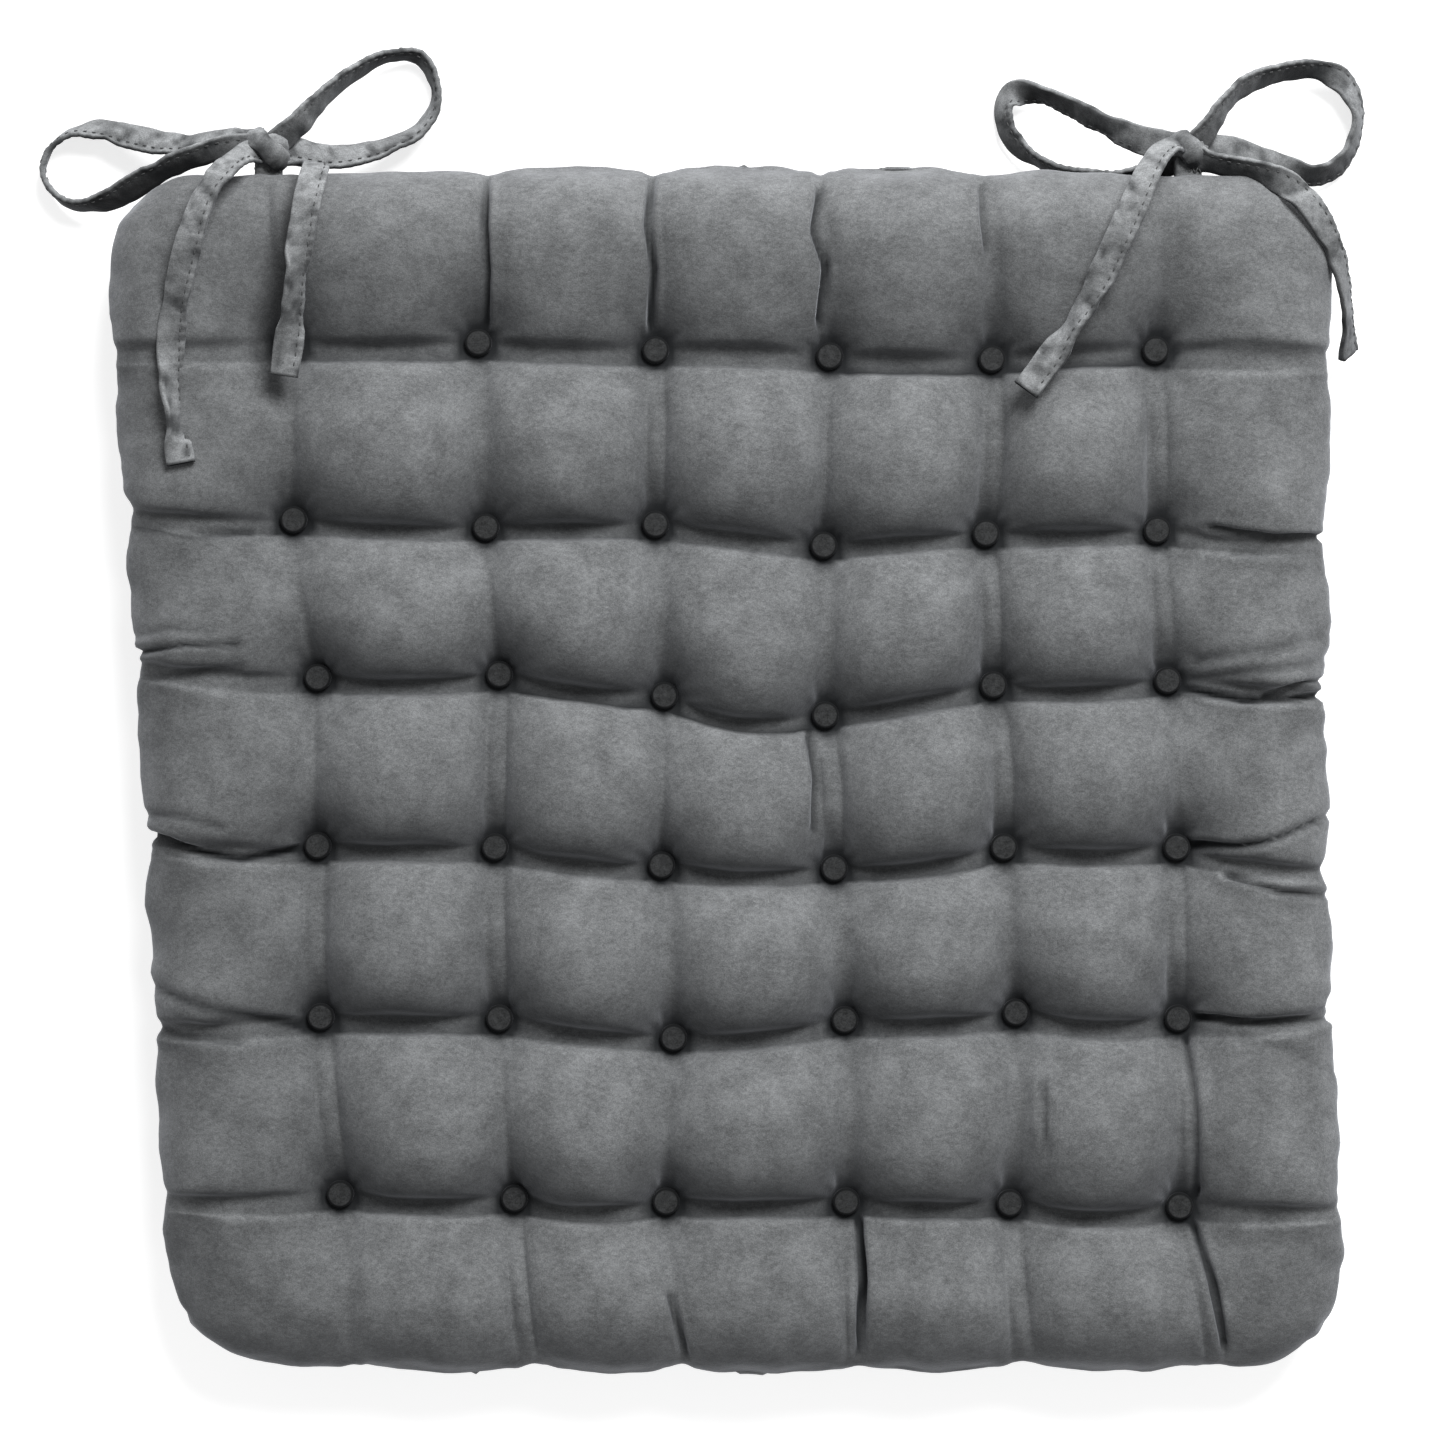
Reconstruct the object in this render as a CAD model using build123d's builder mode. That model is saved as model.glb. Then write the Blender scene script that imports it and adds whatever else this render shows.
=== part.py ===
"""Chair seat pad: two fabric panels sewn round fibre filling, tufted through with covered
buttons, with a folded fabric tie sewn into each back corner and tied in a bow.

Millimetres. +Z is up, +Y is the back edge, where the ties are. The origin is on the surface the
pad lies on, under the middle of the pad.
"""

import os
from math import pi, radians, tan

from build123d import *

# ---- driving dimensions ---------------------------------------------------------------------

# plan: corners of the panel before rounding, and how far the sides are drawn in at the waist
back_left = (-209.75, 198.5)
back_right = (205.0, 198.5)
front_right = (209.2, -198.5)
front_left = (-187.5, -198.5)
left_waist = (-196.5, 10.0)
right_waist = (201.0, 10.0)
corner_radii = {back_left: 35.0, back_right: 35.0, front_right: 38.0, front_left: 46.0}

thickness = 50.0  # over the plumpest part of the pad
seam_height = thickness / 2
edge_radius = 22.0  # plump roll between the seam and the top or underside
fabric = 1.2

seam_allowance = 8.0  # fabric turned in behind the seam
stitch_inset = 5.0  # stitching line, in from the edge
stitch_size = 0.8

# tufts: x of each button and y of its row, back row first, as the hand-set buttons lie
tuft_rows = [
    [(-145.0, 141.5), (-82.5, 142.0), (-23.5, 139.5), (34.5, 137.5), (88.5, 136.5), (143.0, 139.5)],
    [(-144.0, 83.0), (-80.0, 80.5), (-23.5, 81.5), (32.5, 74.5), (86.5, 78.5), (143.5, 79.5)],
    [(-136.0, 30.5), (-75.5, 31.5), (-20.5, 24.5), (33.0, 18.0), (89.0, 28.0), (147.0, 29.5)],
    [(-136.0, -25.5), (-77.0, -26.0), (-21.5, -32.0), (36.0, -33.0), (92.5, -26.0), (150.0, -26.0)],
    [(-135.0, -82.5), (-75.5, -83.0), (-17.5, -89.5), (39.5, -83.5), (96.5, -81.0), (150.5, -83.0)],
    [(-128.5, -141.5), (-70.5, -143.0), (-20.0, -144.0), (40.0, -144.0), (94.5, -144.5), (151.0, -145.5)],
]
top_seat = 28.0  # height of the fabric under an upper button
bottom_seat = 12.0  # height of the fabric over a lower button
top_lip = 19.0  # radius of the plump lip round an upper tuft
bottom_lip = 9.0
seat_radius = 5.0

button_radius = 4.5
button_height = 3.0
button_cover = 0.5
thread_radius = 0.6
thread_grip = 1.2  # how far the thread goes into each core

# ties: a strap of folded fabric, drawn as a round bar of about the same section
tie_diameter = 4.5
root_width = 9.0
root_thickness = 3.6
root_depth = 8.0
knot_size = (16.0, 12.0, 13.0)
knot_rounding = 3.5
knots = {"left": (-153.0, 207.0, 26.0), "right": (154.0, 207.0, 26.0)}
root_height = seam_height
back_edge = back_left[1]

# Each route starts and ends inside its knot; a tail ends at the strap's cut end.
routes = {
    "left_tie_outer_loop": [
        (-155, 210, 25), (-164, 211.3, 23.5), (-175, 211, 19.5), (-187, 210, 14), (-200, 213, 9),
        (-213, 217, 5.8), (-225, 214.5, 5), (-232, 205.5, 5), (-229.5, 195, 6), (-219.5, 189.3, 9),
        (-207, 191, 15), (-195, 197.5, 22.5), (-183, 203.5, 28), (-172, 207, 29.5),
        (-163, 207.5, 29), (-156, 207, 27.5),
    ],
    "left_tie_outer_tail": [
        (-156, 206, 28), (-161, 203, 36), (-167, 197, 47), (-172, 188.5, 55), (-176, 176, 57.5),
        (-179.5, 162, 57), (-182.5, 148, 56), (-183.5, 133, 55), (-182.5, 118, 54.5),
        (-179, 104, 53.5),
    ],
    "left_tie_inner_loop": [
        (-151, 208, 27), (-144.5, 214, 27.5), (-137.5, 222, 24), (-130, 230.5, 17.5),
        (-120.5, 238.5, 10.5), (-108.5, 243.5, 6), (-99.5, 238, 5.2), (-96.5, 227.5, 5),
        (-101, 217.5, 6), (-111, 211.5, 9.5), (-122, 207.5, 14.5), (-133, 208, 19),
        (-143, 208.8, 23), (-151, 208.5, 24),
    ],
    "left_tie_inner_tail": [
        (-151, 204, 23), (-143.5, 203.3, 22.5), (-137.5, 203.5, 28), (-135.5, 203, 38),
        (-136, 197.5, 48), (-137, 188.5, 55.5), (-139, 176, 57.5), (-141.5, 161, 57),
        (-143, 145.5, 56), (-145.5, 130.5, 54.5),
    ],
    "right_tie_inner_loop": [
        (151, 208.5, 26.5), (142.5, 209, 26), (133.5, 212.5, 22.5), (123.5, 218.5, 17),
        (113.5, 225.3, 11), (103, 229.7, 7), (95, 228.5, 5.2), (92, 220.5, 5), (96, 212.5, 6),
        (105, 207, 8.5), (116, 204.5, 12.5), (127.5, 203.3, 16.5), (138.5, 202.8, 20),
        (147, 203.5, 22), (152, 204.5, 22.5),
    ],
    "right_tie_inner_tail": [
        (152, 208, 29), (147, 207.5, 37), (142, 203, 44.5), (138, 195.5, 52), (133.5, 184.5, 57),
        (128, 173, 58), (122.5, 160.5, 57), (116, 148.5, 56), (107.5, 136.5, 55), (98.5, 125, 54),
    ],
    "right_tie_outer_loop": [
        (156.5, 208.5, 27.5), (161.5, 214.5, 28.5), (165.5, 222, 27), (172.5, 229, 22),
        (183, 234, 15.5), (195, 237.2, 10), (206.5, 235.5, 6.5), (214, 227.5, 5.2),
        (215.5, 217, 5), (211.5, 207, 5.5), (203, 199.8, 7), (192.5, 200.5, 10.5),
        (182, 204, 15.5), (171.5, 206.8, 20), (162.5, 207.8, 23.5), (156, 207.5, 24.5),
    ],
    "right_tie_outer_tail": [
        (157, 204.5, 27.5), (164.5, 204.3, 29), (174, 203.8, 32.5), (183.5, 201.3, 36.5),
        (191.5, 195.5, 40), (197.5, 187.5, 41.5), (202, 178.5, 40.5), (206, 169, 37),
        (209.5, 158.5, 31), (211.5, 148, 24), (212.3, 139, 16.5),
    ],
}

os.makedirs("parts", exist_ok=True)


def save(piece, name):
    piece.label = name
    export_step(piece, f"parts/{name}.step")


# ---- pad: panels, filling and seam ----------------------------------------------------------


def plan(inset):
    """The pad seen from above, its edge drawn in by inset."""
    with BuildSketch() as sketch:
        with BuildLine():
            Line(front_left, front_right)
            ThreePointArc(front_right, right_waist, back_right)
            Line(back_right, back_left)
            ThreePointArc(back_left, left_waist, front_left)
        make_face()
        for corner, radius in corner_radii.items():
            fillet(sketch.vertices().sort_by_distance(corner)[0], radius)
        if inset:
            offset(amount=-inset)
    return sketch.sketch


def lip_profile(lip, seat_depth, inset):
    """Half section of a tuft hollow, mouth up at Y = 0: a plump lip, a short wall and a seat."""
    throat = seat_radius + inset
    rim = seat_radius + lip
    with BuildSketch(Plane.XZ) as sketch:
        with BuildLine():
            Polyline(
                (rim, -inset), (rim, 2), (0, 2), (0, -seat_depth - inset),
                (throat, -seat_depth - inset), (throat, -lip),
            )
            RadiusArc((throat, -lip), (rim, -inset), lip - inset)
        make_face()
    return sketch.sketch


def tuft_hollow(inset):
    """The hollow that one pair of buttons pulls into the top and the underside."""
    with BuildPart() as hollow:
        add(lip_profile(top_lip, thickness - top_seat, inset))
        revolve(axis=Axis.Z)
    with BuildPart() as lower:
        add(lip_profile(bottom_lip, bottom_seat, inset))
        revolve(axis=Axis.Z)
    return hollow.part.moved(Location((0, 0, thickness))), lower.part.mirror(Plane.XY)


tufts = [(x, y, 0) for row in tuft_rows for x, y in row]


def cushion(inset):
    """The plump, tufted block, drawn in by inset on every side."""
    hollows = tuft_hollow(inset)
    with BuildPart() as block:
        with BuildSketch(Plane.XY.offset(inset)):
            add(plan(inset))
        extrude(amount=thickness - 2 * inset)
        faces = block.faces().sort_by(Axis.Z)
        fillet(faces[0].edges() + faces[-1].edges(), edge_radius - inset)
        with Locations(*tufts):
            for hollow in hollows:
                add(hollow, mode=Mode.SUBTRACT)
    return block.part


outer = cushion(0)
inner = cushion(fabric)

with BuildPart() as root_space:
    for x, y, _ in knots.values():
        with Locations((x, back_edge - root_depth, root_height)):
            Box(root_width, 60, root_thickness, align=(Align.CENTER, Align.MIN, Align.CENTER))

with BuildPart() as thread_space:
    with Locations(*tufts):
        Cylinder(thread_radius, thickness, align=(Align.CENTER, Align.CENTER, Align.MIN))

half_space = 600.0


def panel(side):
    """The upper (+1) or under (-1) cover panel with its turned-in seam allowance."""
    with BuildPart() as shell:
        add(outer)
        add(inner, mode=Mode.SUBTRACT)
        with Locations((0, 0, seam_height + side * half_space / 2)):
            Box(half_space, half_space, half_space, mode=Mode.INTERSECT)
        with BuildSketch(Plane.XY.offset(seam_height)):
            add(plan(fabric / 2))
            add(plan(fabric + seam_allowance), mode=Mode.SUBTRACT)
        extrude(amount=side * fabric)
        add(root_space.part, mode=Mode.SUBTRACT)
        add(thread_space.part, mode=Mode.SUBTRACT)
    return shell.part


top_panel = panel(1)
save(top_panel, "top_panel")
bottom_panel = panel(-1)
save(bottom_panel, "bottom_panel")

with BuildPart() as tacks:
    for x, y, _ in knots.values():
        for side in (1, -1):
            rise = side * (root_thickness + stitch_size) / 2
            with Locations((x, back_edge - stitch_inset, root_height + rise)):
                Box(root_width + 2, 6, stitch_size)
save(tacks.part, "tie_bar_tacks")

with BuildPart() as stitching:
    for side in (1, -1):
        with BuildSketch(Plane.XY.offset(seam_height + side * fabric)):
            add(plan(stitch_inset))
            add(plan(stitch_inset + stitch_size), mode=Mode.SUBTRACT)
        extrude(amount=side * stitch_size)
    add(root_space.part, mode=Mode.SUBTRACT)
    add(tacks.part, mode=Mode.SUBTRACT)
save(stitching.part, "seam_stitching")

with BuildPart() as filling:
    add(inner)
    with BuildSketch(Plane.XY.offset(seam_height - fabric)):
        add(plan(0))
        add(plan(fabric + seam_allowance), mode=Mode.SUBTRACT)
    extrude(amount=2 * fabric, mode=Mode.SUBTRACT)
    for space in (root_space, thread_space, tacks, stitching):
        add(space.part, mode=Mode.SUBTRACT)
save(filling.part, "filling")

# ---- tufts: covered buttons and their threads -----------------------------------------------


def covered_button():
    """A covered button standing on Z = 0, cover and core, with a blind hole for the thread."""
    with BuildPart() as cover:
        Cylinder(button_radius, button_height, align=(Align.CENTER, Align.CENTER, Align.MIN))
        fillet(cover.faces().sort_by(Axis.Z)[-1].edges(), 1.0)
        Cylinder(
            button_radius - button_cover, button_height - button_cover,
            align=(Align.CENTER, Align.CENTER, Align.MIN), mode=Mode.SUBTRACT,
        )
    with BuildPart() as core:
        Cylinder(
            button_radius - button_cover, button_height - button_cover,
            align=(Align.CENTER, Align.CENTER, Align.MIN),
        )
        Cylinder(
            thread_radius, thread_grip, align=(Align.CENTER, Align.CENTER, Align.MIN), mode=Mode.SUBTRACT
        )
    return cover.part, core.part


button_cap, button_core = covered_button()
thread_length = top_seat - bottom_seat + 2 * thread_grip
for number, row in enumerate(tuft_rows, start=1):
    for piece, kind in ((button_cap, "covers"), (button_core, "cores")):
        with BuildPart() as upper:
            with Locations(*[(x, y, top_seat) for x, y in row]):
                add(piece)
        save(upper.part, f"top_button_{kind}_row_{number}")
        with BuildPart() as under:
            with Locations(*[(x, y, bottom_seat) for x, y in row]):
                add(piece.mirror(Plane.XY))
        save(under.part, f"bottom_button_{kind}_row_{number}")
    with BuildPart() as threads:
        with Locations(*[(x, y, bottom_seat - thread_grip) for x, y in row]):
            Cylinder(thread_radius, thread_length, align=(Align.CENTER, Align.CENTER, Align.MIN))
    save(threads.part, f"tuft_threads_row_{number}")

# ---- ties: root, knot, loops and tails ------------------------------------------------------

knot_parts = {}
for side, centre in knots.items():
    with BuildPart() as knot:
        with Locations(centre):
            Box(*knot_size)
        fillet(knot.edges(), knot_rounding)
    knot_parts[side] = knot.part
    save(knot.part, f"{side}_bow_knot")

    with BuildPart() as root:
        with Locations((centre[0], back_edge - root_depth, root_height)):
            Box(
                root_width, root_depth + knot_size[1], root_thickness,
                align=(Align.CENTER, Align.MIN, Align.CENTER),
            )
        add(knot.part, mode=Mode.SUBTRACT)
    save(root.part, f"{side}_tie_root")


def corner_radius(before, corner, after):
    """The largest even bend that the two runs at a corner of a route leave room for."""
    arriving, leaving = Vector(corner) - Vector(before), Vector(after) - Vector(corner)
    turn = radians(arriving.get_angle(leaving))
    return 0.45 * min(arriving.length, leaving.length) / tan(turn / 2)


for name, points in routes.items():
    radii = [corner_radius(*points[i : i + 3]) for i in range(len(points) - 2)]
    with BuildPart() as tie:
        with BuildLine() as line:
            FilletPolyline(*points, radius=radii)
        with BuildSketch(Plane(line.wires()[0] @ 0, z_dir=line.wires()[0] % 0)):
            Circle(tie_diameter / 2)
        sweep()
        length = line.wires()[0].length
        expected = pi * tie_diameter**2 / 4 * length
        swept = tie.part.volume
        add(knot_parts[name.split("_")[0]], mode=Mode.SUBTRACT)
    print(
        f"{name}: length {length:.1f} mm, volume {swept / expected:.4f} of section x length, "
        f"solids {len(tie.solids())}, radii", " ".join(f"{radius:.1f}" for radius in radii),
    )
    save(tie.part, name)
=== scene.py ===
"""Chair seat pad in brushed microsuede: tufted panels by cloth simulation, covered buttons, and a
folded strap tied in a bow at each back corner. Metres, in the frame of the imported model: +Z up,
+Y towards the back edge, the pad lying on Z = 0.
"""

import math
import random

import bmesh
import bpy
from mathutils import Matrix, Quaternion, Vector, noise


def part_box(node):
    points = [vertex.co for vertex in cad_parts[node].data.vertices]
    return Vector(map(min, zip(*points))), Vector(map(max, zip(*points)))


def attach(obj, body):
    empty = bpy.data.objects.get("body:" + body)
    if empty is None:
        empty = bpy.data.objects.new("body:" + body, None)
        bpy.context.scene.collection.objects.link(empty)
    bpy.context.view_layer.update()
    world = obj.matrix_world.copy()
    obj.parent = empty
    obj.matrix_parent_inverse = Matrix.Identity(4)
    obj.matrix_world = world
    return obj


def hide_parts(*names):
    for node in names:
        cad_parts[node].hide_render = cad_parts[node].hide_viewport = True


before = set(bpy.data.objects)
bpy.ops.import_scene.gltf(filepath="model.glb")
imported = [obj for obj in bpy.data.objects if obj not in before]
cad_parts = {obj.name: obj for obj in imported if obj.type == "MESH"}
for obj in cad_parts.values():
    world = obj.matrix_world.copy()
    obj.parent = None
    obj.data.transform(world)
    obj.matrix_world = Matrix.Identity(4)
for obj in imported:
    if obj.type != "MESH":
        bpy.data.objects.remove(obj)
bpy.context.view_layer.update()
MM = 0.001

# ---- measures taken from the frame ----------------------------------------------------------

ROWS = 6
SEAM_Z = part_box("top_panel")[0][2]
TOP_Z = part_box("top_panel")[1][2]
TOP_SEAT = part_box("top_button_covers_row_1")[0][2]
UNDER_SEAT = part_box("bottom_button_covers_row_1")[1][2]
KNOTS = {
    side: (Vector(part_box(f"{side}_bow_knot")[0]) + Vector(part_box(f"{side}_bow_knot")[1])) / 2
    for side in ("left", "right")
}


def tuft_grid():
    """The middle of every button, front row first, each row from left to right."""
    grid = []
    for number in range(ROWS, 0, -1):
        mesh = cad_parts[f"top_button_covers_row_{number}"].data
        points = sorted((vertex.co.copy() for vertex in mesh.vertices), key=lambda p: p.x)
        groups = [[points[0]]]
        for point in points[1:]:
            if point.x - groups[-1][-1].x > 15 * MM:
                groups.append([])
            groups[-1].append(point)
        middles = []
        for group in groups:
            xs, ys = [p.x for p in group], [p.y for p in group]
            middles.append(Vector(((min(xs) + max(xs)) / 2, (min(ys) + max(ys)) / 2)))
        grid.append(middles)
    return grid


TUFTS = tuft_grid()

# ---- camera, lights and floor ---------------------------------------------------------------


def aim(thing, target):
    thing.rotation_euler = (Vector(target) - thing.location).to_track_quat("-Z", "Y").to_euler()


def add_camera():
    """Straight above the pad, far enough off for its sides to stay out of sight."""
    bpy.ops.object.camera_add(location=(-0.0012, 0.0155, 1.5), rotation=(0, 0, 0))
    camera = bpy.context.object
    camera.name = "studio_camera"
    camera.data.lens = 110
    camera.data.dof.use_dof = False
    bpy.context.scene.camera = camera


def add_light(name, location, size, power, target=(0, 0, 0)):
    bpy.ops.object.light_add(type="AREA", location=location)
    lamp = bpy.context.object
    lamp.name = name
    lamp.data.shape = "DISK"
    lamp.data.size = size
    lamp.data.energy = power
    aim(lamp, target)


def add_studio():
    """A broad soft key from behind the back edge, low enough to model the tufts, and a pale room."""
    add_light("back_key", (0.5, 1.15, 1.45), 0.9, 48.0)
    add_light("front_fill", (0.3, -1.6, 1.3), 1.4, 5.0)
    scene = bpy.context.scene
    scene.world = bpy.data.worlds.new("pale_room")
    scene.world.use_nodes = True
    background = scene.world.node_tree.nodes["Background"]
    background.inputs["Color"].default_value = (1.0, 1.0, 1.0, 1.0)
    background.inputs["Strength"].default_value = 0.36
    scene.view_settings.view_transform = "Standard"
    scene.view_settings.look = "None"

    bpy.ops.object.select_all(action="DESELECT")
    bpy.ops.mesh.primitive_plane_add(size=6, location=(0, 0, -0.0004))
    floor = bpy.context.object
    floor.name = "studio_floor"
    paint = bpy.data.materials.new("floor_paint")
    paint.use_nodes = True
    shader = paint.node_tree.nodes["Principled BSDF"]
    shader.inputs["Base Color"].default_value = (0.6, 0.6, 0.6, 1)
    shader.inputs["Roughness"].default_value = 0.9
    shader.inputs["Specular IOR Level"].default_value = 0.1
    shader.inputs["Emission Color"].default_value = (1, 1, 1, 1)
    shader.inputs["Emission Strength"].default_value = 0.7
    floor.data.materials.append(paint)


add_camera()
add_studio()

# ---- materials ------------------------------------------------------------------------------


class Nodes:
    """A short way to lay out one material's nodes."""

    def __init__(self, tree):
        self.tree = tree

    def add(self, kind, values=(), **settings):
        node = self.tree.nodes.new(kind)
        for name, value in settings.items():
            setattr(node, name, value)
        for socket, value in dict(values).items():
            if isinstance(value, bpy.types.NodeSocket):
                self.tree.links.new(value, node.inputs[socket])
            else:
                node.inputs[socket].default_value = value
        return node


def ramp(nodes, factor, stops):
    node = nodes.add("ShaderNodeValToRGB", {"Fac": factor})
    elements = node.color_ramp.elements
    while len(elements) < len(stops):
        elements.new(0.5)
    for element, (place, shade) in zip(elements, stops):
        element.position = place
        element.color = (*shade, 1)
    return node.outputs["Color"]


GRAIN_SIZE = 2600.0


def nap_group():
    """Brushed nap: soft clouds where the pile lies differently, short brush streaks and fine grain."""
    group = bpy.data.node_groups.new("brushed_nap", "ShaderNodeTree")
    face = group.interface
    face.new_socket("Vector", in_out="INPUT", socket_type="NodeSocketVector")
    for name, value in (("Cloud Size", 90.0), ("Streak Size", 800.0), ("Grain Size", GRAIN_SIZE)):
        face.new_socket(name, in_out="INPUT", socket_type="NodeSocketFloat").default_value = value
    face.new_socket("Shade", in_out="OUTPUT", socket_type="NodeSocketFloat")
    face.new_socket("Height", in_out="OUTPUT", socket_type="NodeSocketFloat")
    nodes = Nodes(group)
    inputs = nodes.add("NodeGroupInput").outputs
    outputs = nodes.add("NodeGroupOutput")
    clouds = nodes.add(
        "ShaderNodeTexNoise",
        {"Vector": inputs["Vector"], "Scale": inputs["Cloud Size"], "Detail": 4.0, "Roughness": 0.62},
    ).outputs["Fac"]
    stretched = nodes.add(
        "ShaderNodeMapping", {"Vector": inputs["Vector"], "Scale": (0.62, 1.0, 1.0), "Rotation": (0, 0, 0.5)}
    ).outputs["Vector"]
    streaks = nodes.add(
        "ShaderNodeTexNoise",
        {"Vector": stretched, "Scale": inputs["Streak Size"], "Detail": 3.0, "Roughness": 0.7},
    ).outputs["Fac"]
    grain = nodes.add(
        "ShaderNodeTexNoise", {"Vector": inputs["Vector"], "Scale": inputs["Grain Size"], "Detail": 1.0}
    ).outputs["Fac"]
    mixed = nodes.add("ShaderNodeMath", {0: clouds, 1: streaks}, operation="ADD").outputs[0]
    both = nodes.add("ShaderNodeMath", {0: mixed, 1: grain}, operation="ADD").outputs[0]
    shade = nodes.add("ShaderNodeMath", {0: both, 1: 3.0}, operation="DIVIDE").outputs[0]
    fine = nodes.add("ShaderNodeMath", {0: grain, 1: 0.5}, operation="MULTIPLY").outputs[0]
    height = nodes.add("ShaderNodeMath", {0: streaks, 1: fine}, operation="ADD").outputs[0]
    group.links.new(shade, outputs.inputs["Shade"])
    group.links.new(height, outputs.inputs["Height"])
    return group


NAP = nap_group()


def start_material(name):
    """A new material with its nodes, its shader and the piece's own coordinates."""
    material = bpy.data.materials.new(name)
    material.use_nodes = True
    nodes = Nodes(material.node_tree)
    shader = material.node_tree.nodes["Principled BSDF"]
    place = nodes.add("ShaderNodeTexCoord").outputs["Object"]
    return material, nodes, shader, place


def nap_material(
    name, dark, mid, light,
    bump=0.25, clouds=90.0, sheen=0.35, folded=0.0, backlight_range=(0.6, 1.62),
):
    """Brushed microsuede: mottled colour from the nap, a fine raised pile and a soft sheen. With folded set,
    the colour also gets painted light, lighter where the surface faces the back and darker where it faces
    the front, and painted shade from the fold attribute at that strength.
    """
    material, nodes, shader, place = start_material(name)
    nap = nodes.add("ShaderNodeGroup", {}, node_tree=NAP)
    nodes.tree.links.new(place, nap.inputs["Vector"])
    nap.inputs["Grain Size"].default_value = GRAIN_SIZE
    nap.inputs["Cloud Size"].default_value = clouds
    colour = ramp(nodes, nap.outputs["Shade"], [(0.38, dark), (0.5, mid), (0.63, light)])
    if folded:
        # Painted light: the colour is lighter where the surface faces the back, towards the key light, and
        # darker where it faces the front.
        back_facing = nodes.add("ShaderNodeAttribute", attribute_name="painted_backlight").outputs["Fac"]
        lift = nodes.add(
            "ShaderNodeMapRange", {0: back_facing, 1: -0.8, 2: 0.6, 3: backlight_range[0], 4: backlight_range[1]}
        ).outputs[0]
        lit = nodes.add("ShaderNodeCombineXYZ", {0: lift, 1: lift, 2: lift}).outputs[0]
        colour = nodes.add(
            "ShaderNodeMix", {0: 1.0, 6: colour, 7: lit}, data_type="RGBA", blend_type="MULTIPLY"
        ).outputs[2]
        # Painted shade: the fold attribute mixes the colour towards near black in the channels, along the
        # fold lines and round the buttons.
        depth = nodes.add("ShaderNodeAttribute", attribute_name="fold").outputs["Fac"]
        shaded = nodes.add("ShaderNodeMath", {0: depth, 1: folded}, operation="MULTIPLY").outputs[0]
        colour = nodes.add(
            "ShaderNodeMix", {0: shaded, 6: colour, 7: (0.01, 0.011, 0.012, 1)}, data_type="RGBA"
        ).outputs[2]
    raised = nodes.add(
        "ShaderNodeBump", {"Height": nap.outputs["Height"], "Strength": bump, "Distance": 0.0006}
    ).outputs["Normal"]
    nodes.tree.links.new(colour, shader.inputs["Base Color"])
    nodes.tree.links.new(raised, shader.inputs["Normal"])
    shader.inputs["Roughness"].default_value = 0.92
    shader.inputs["Specular IOR Level"].default_value = 0.12
    shader.inputs["Sheen Weight"].default_value = sheen
    shader.inputs["Sheen Roughness"].default_value = 0.45
    shader.inputs["Sheen Tint"].default_value = (0.9, 0.93, 1.0, 1)
    return material


def grained_material(name, texture, stops, strength, distance, roughness):
    """A material in which one noise texture sets both the colour and the raised grain."""
    material, nodes, shader, place = start_material(name)
    grain = nodes.add("ShaderNodeTexNoise", {"Vector": place, **texture}).outputs["Fac"]
    colour = ramp(nodes, grain, stops)
    raised = nodes.add("ShaderNodeBump", {"Height": grain, "Strength": strength, "Distance": distance})
    nodes.tree.links.new(colour, shader.inputs["Base Color"])
    nodes.tree.links.new(raised.outputs["Normal"], shader.inputs["Normal"])
    shader.inputs["Roughness"].default_value = roughness
    return material


def thread_material(name, dark, light):
    """Twisted sewing thread: narrow bands along each stitch."""
    stops = [(0.35, dark), (0.65, light)]
    return grained_material(name, {"Scale": 3200.0, "Detail": 2.0}, stops, 0.4, 0.0002, 0.6)


def plastic_material(name, dark, light):
    """Matte moulded plastic with a faint spark-eroded grain."""
    stops = [(0.4, dark), (0.6, light)]
    return grained_material(name, {"Scale": 1800.0}, stops, 0.15, 0.0001, 0.62)


def fibre_material():
    """White loft fibre: tangled strands with shade between them."""
    texture = {"Scale": 420.0, "Detail": 6.0, "Distortion": 2.0}
    stops = [(0.3, (0.62, 0.62, 0.6)), (0.6, (0.88, 0.88, 0.86))]
    return grained_material("loft_fibre", texture, stops, 0.8, 0.002, 0.95)


def paint_rim_shade(material):
    """Painted shade: turns a button's colour almost black where its side falls away from the top."""
    nodes = Nodes(material.node_tree)
    shader = material.node_tree.nodes["Principled BSDF"]
    colour = shader.inputs["Base Color"].links[0].from_socket
    facing = nodes.add("ShaderNodeNewGeometry").outputs["Normal"]
    upward = nodes.add("ShaderNodeSeparateXYZ", {0: facing}).outputs["Z"]
    steep = nodes.add("ShaderNodeMath", {0: upward}, operation="ABSOLUTE").outputs[0]
    rim = nodes.add("ShaderNodeMapRange", {0: steep, 1: 0.93, 2: 0.999}).outputs[0]
    mixed = nodes.add(
        "ShaderNodeMix", {0: rim, 6: (0.008, 0.0085, 0.009, 1), 7: colour}, data_type="RGBA"
    ).outputs[2]
    nodes.tree.links.new(mixed, shader.inputs["Base Color"])


def grey(value, cool=0.03):
    """A slate grey: a little less red than blue."""
    return (value * (1 - cool), value, value * (1 + 0.8 * cool))


# Painted light and shade on the top: lighter where it faces the back, darker in the channels, along the fold
# lines, round the buttons and on the left border column.
SUEDE = nap_material("top_microsuede", grey(0.062), grey(0.1), grey(0.15), folded=1.0)
UNDER_SUEDE = nap_material("under_microsuede", grey(0.105), grey(0.14), grey(0.18))
# Painted shade: the button's colour is made very dark to stand in for the shade of the dimple it sits in.
BUTTON_SUEDE = nap_material(
    "button_microsuede", grey(0.014), grey(0.027), grey(0.042), clouds=420.0, sheen=0.05
)
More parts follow.
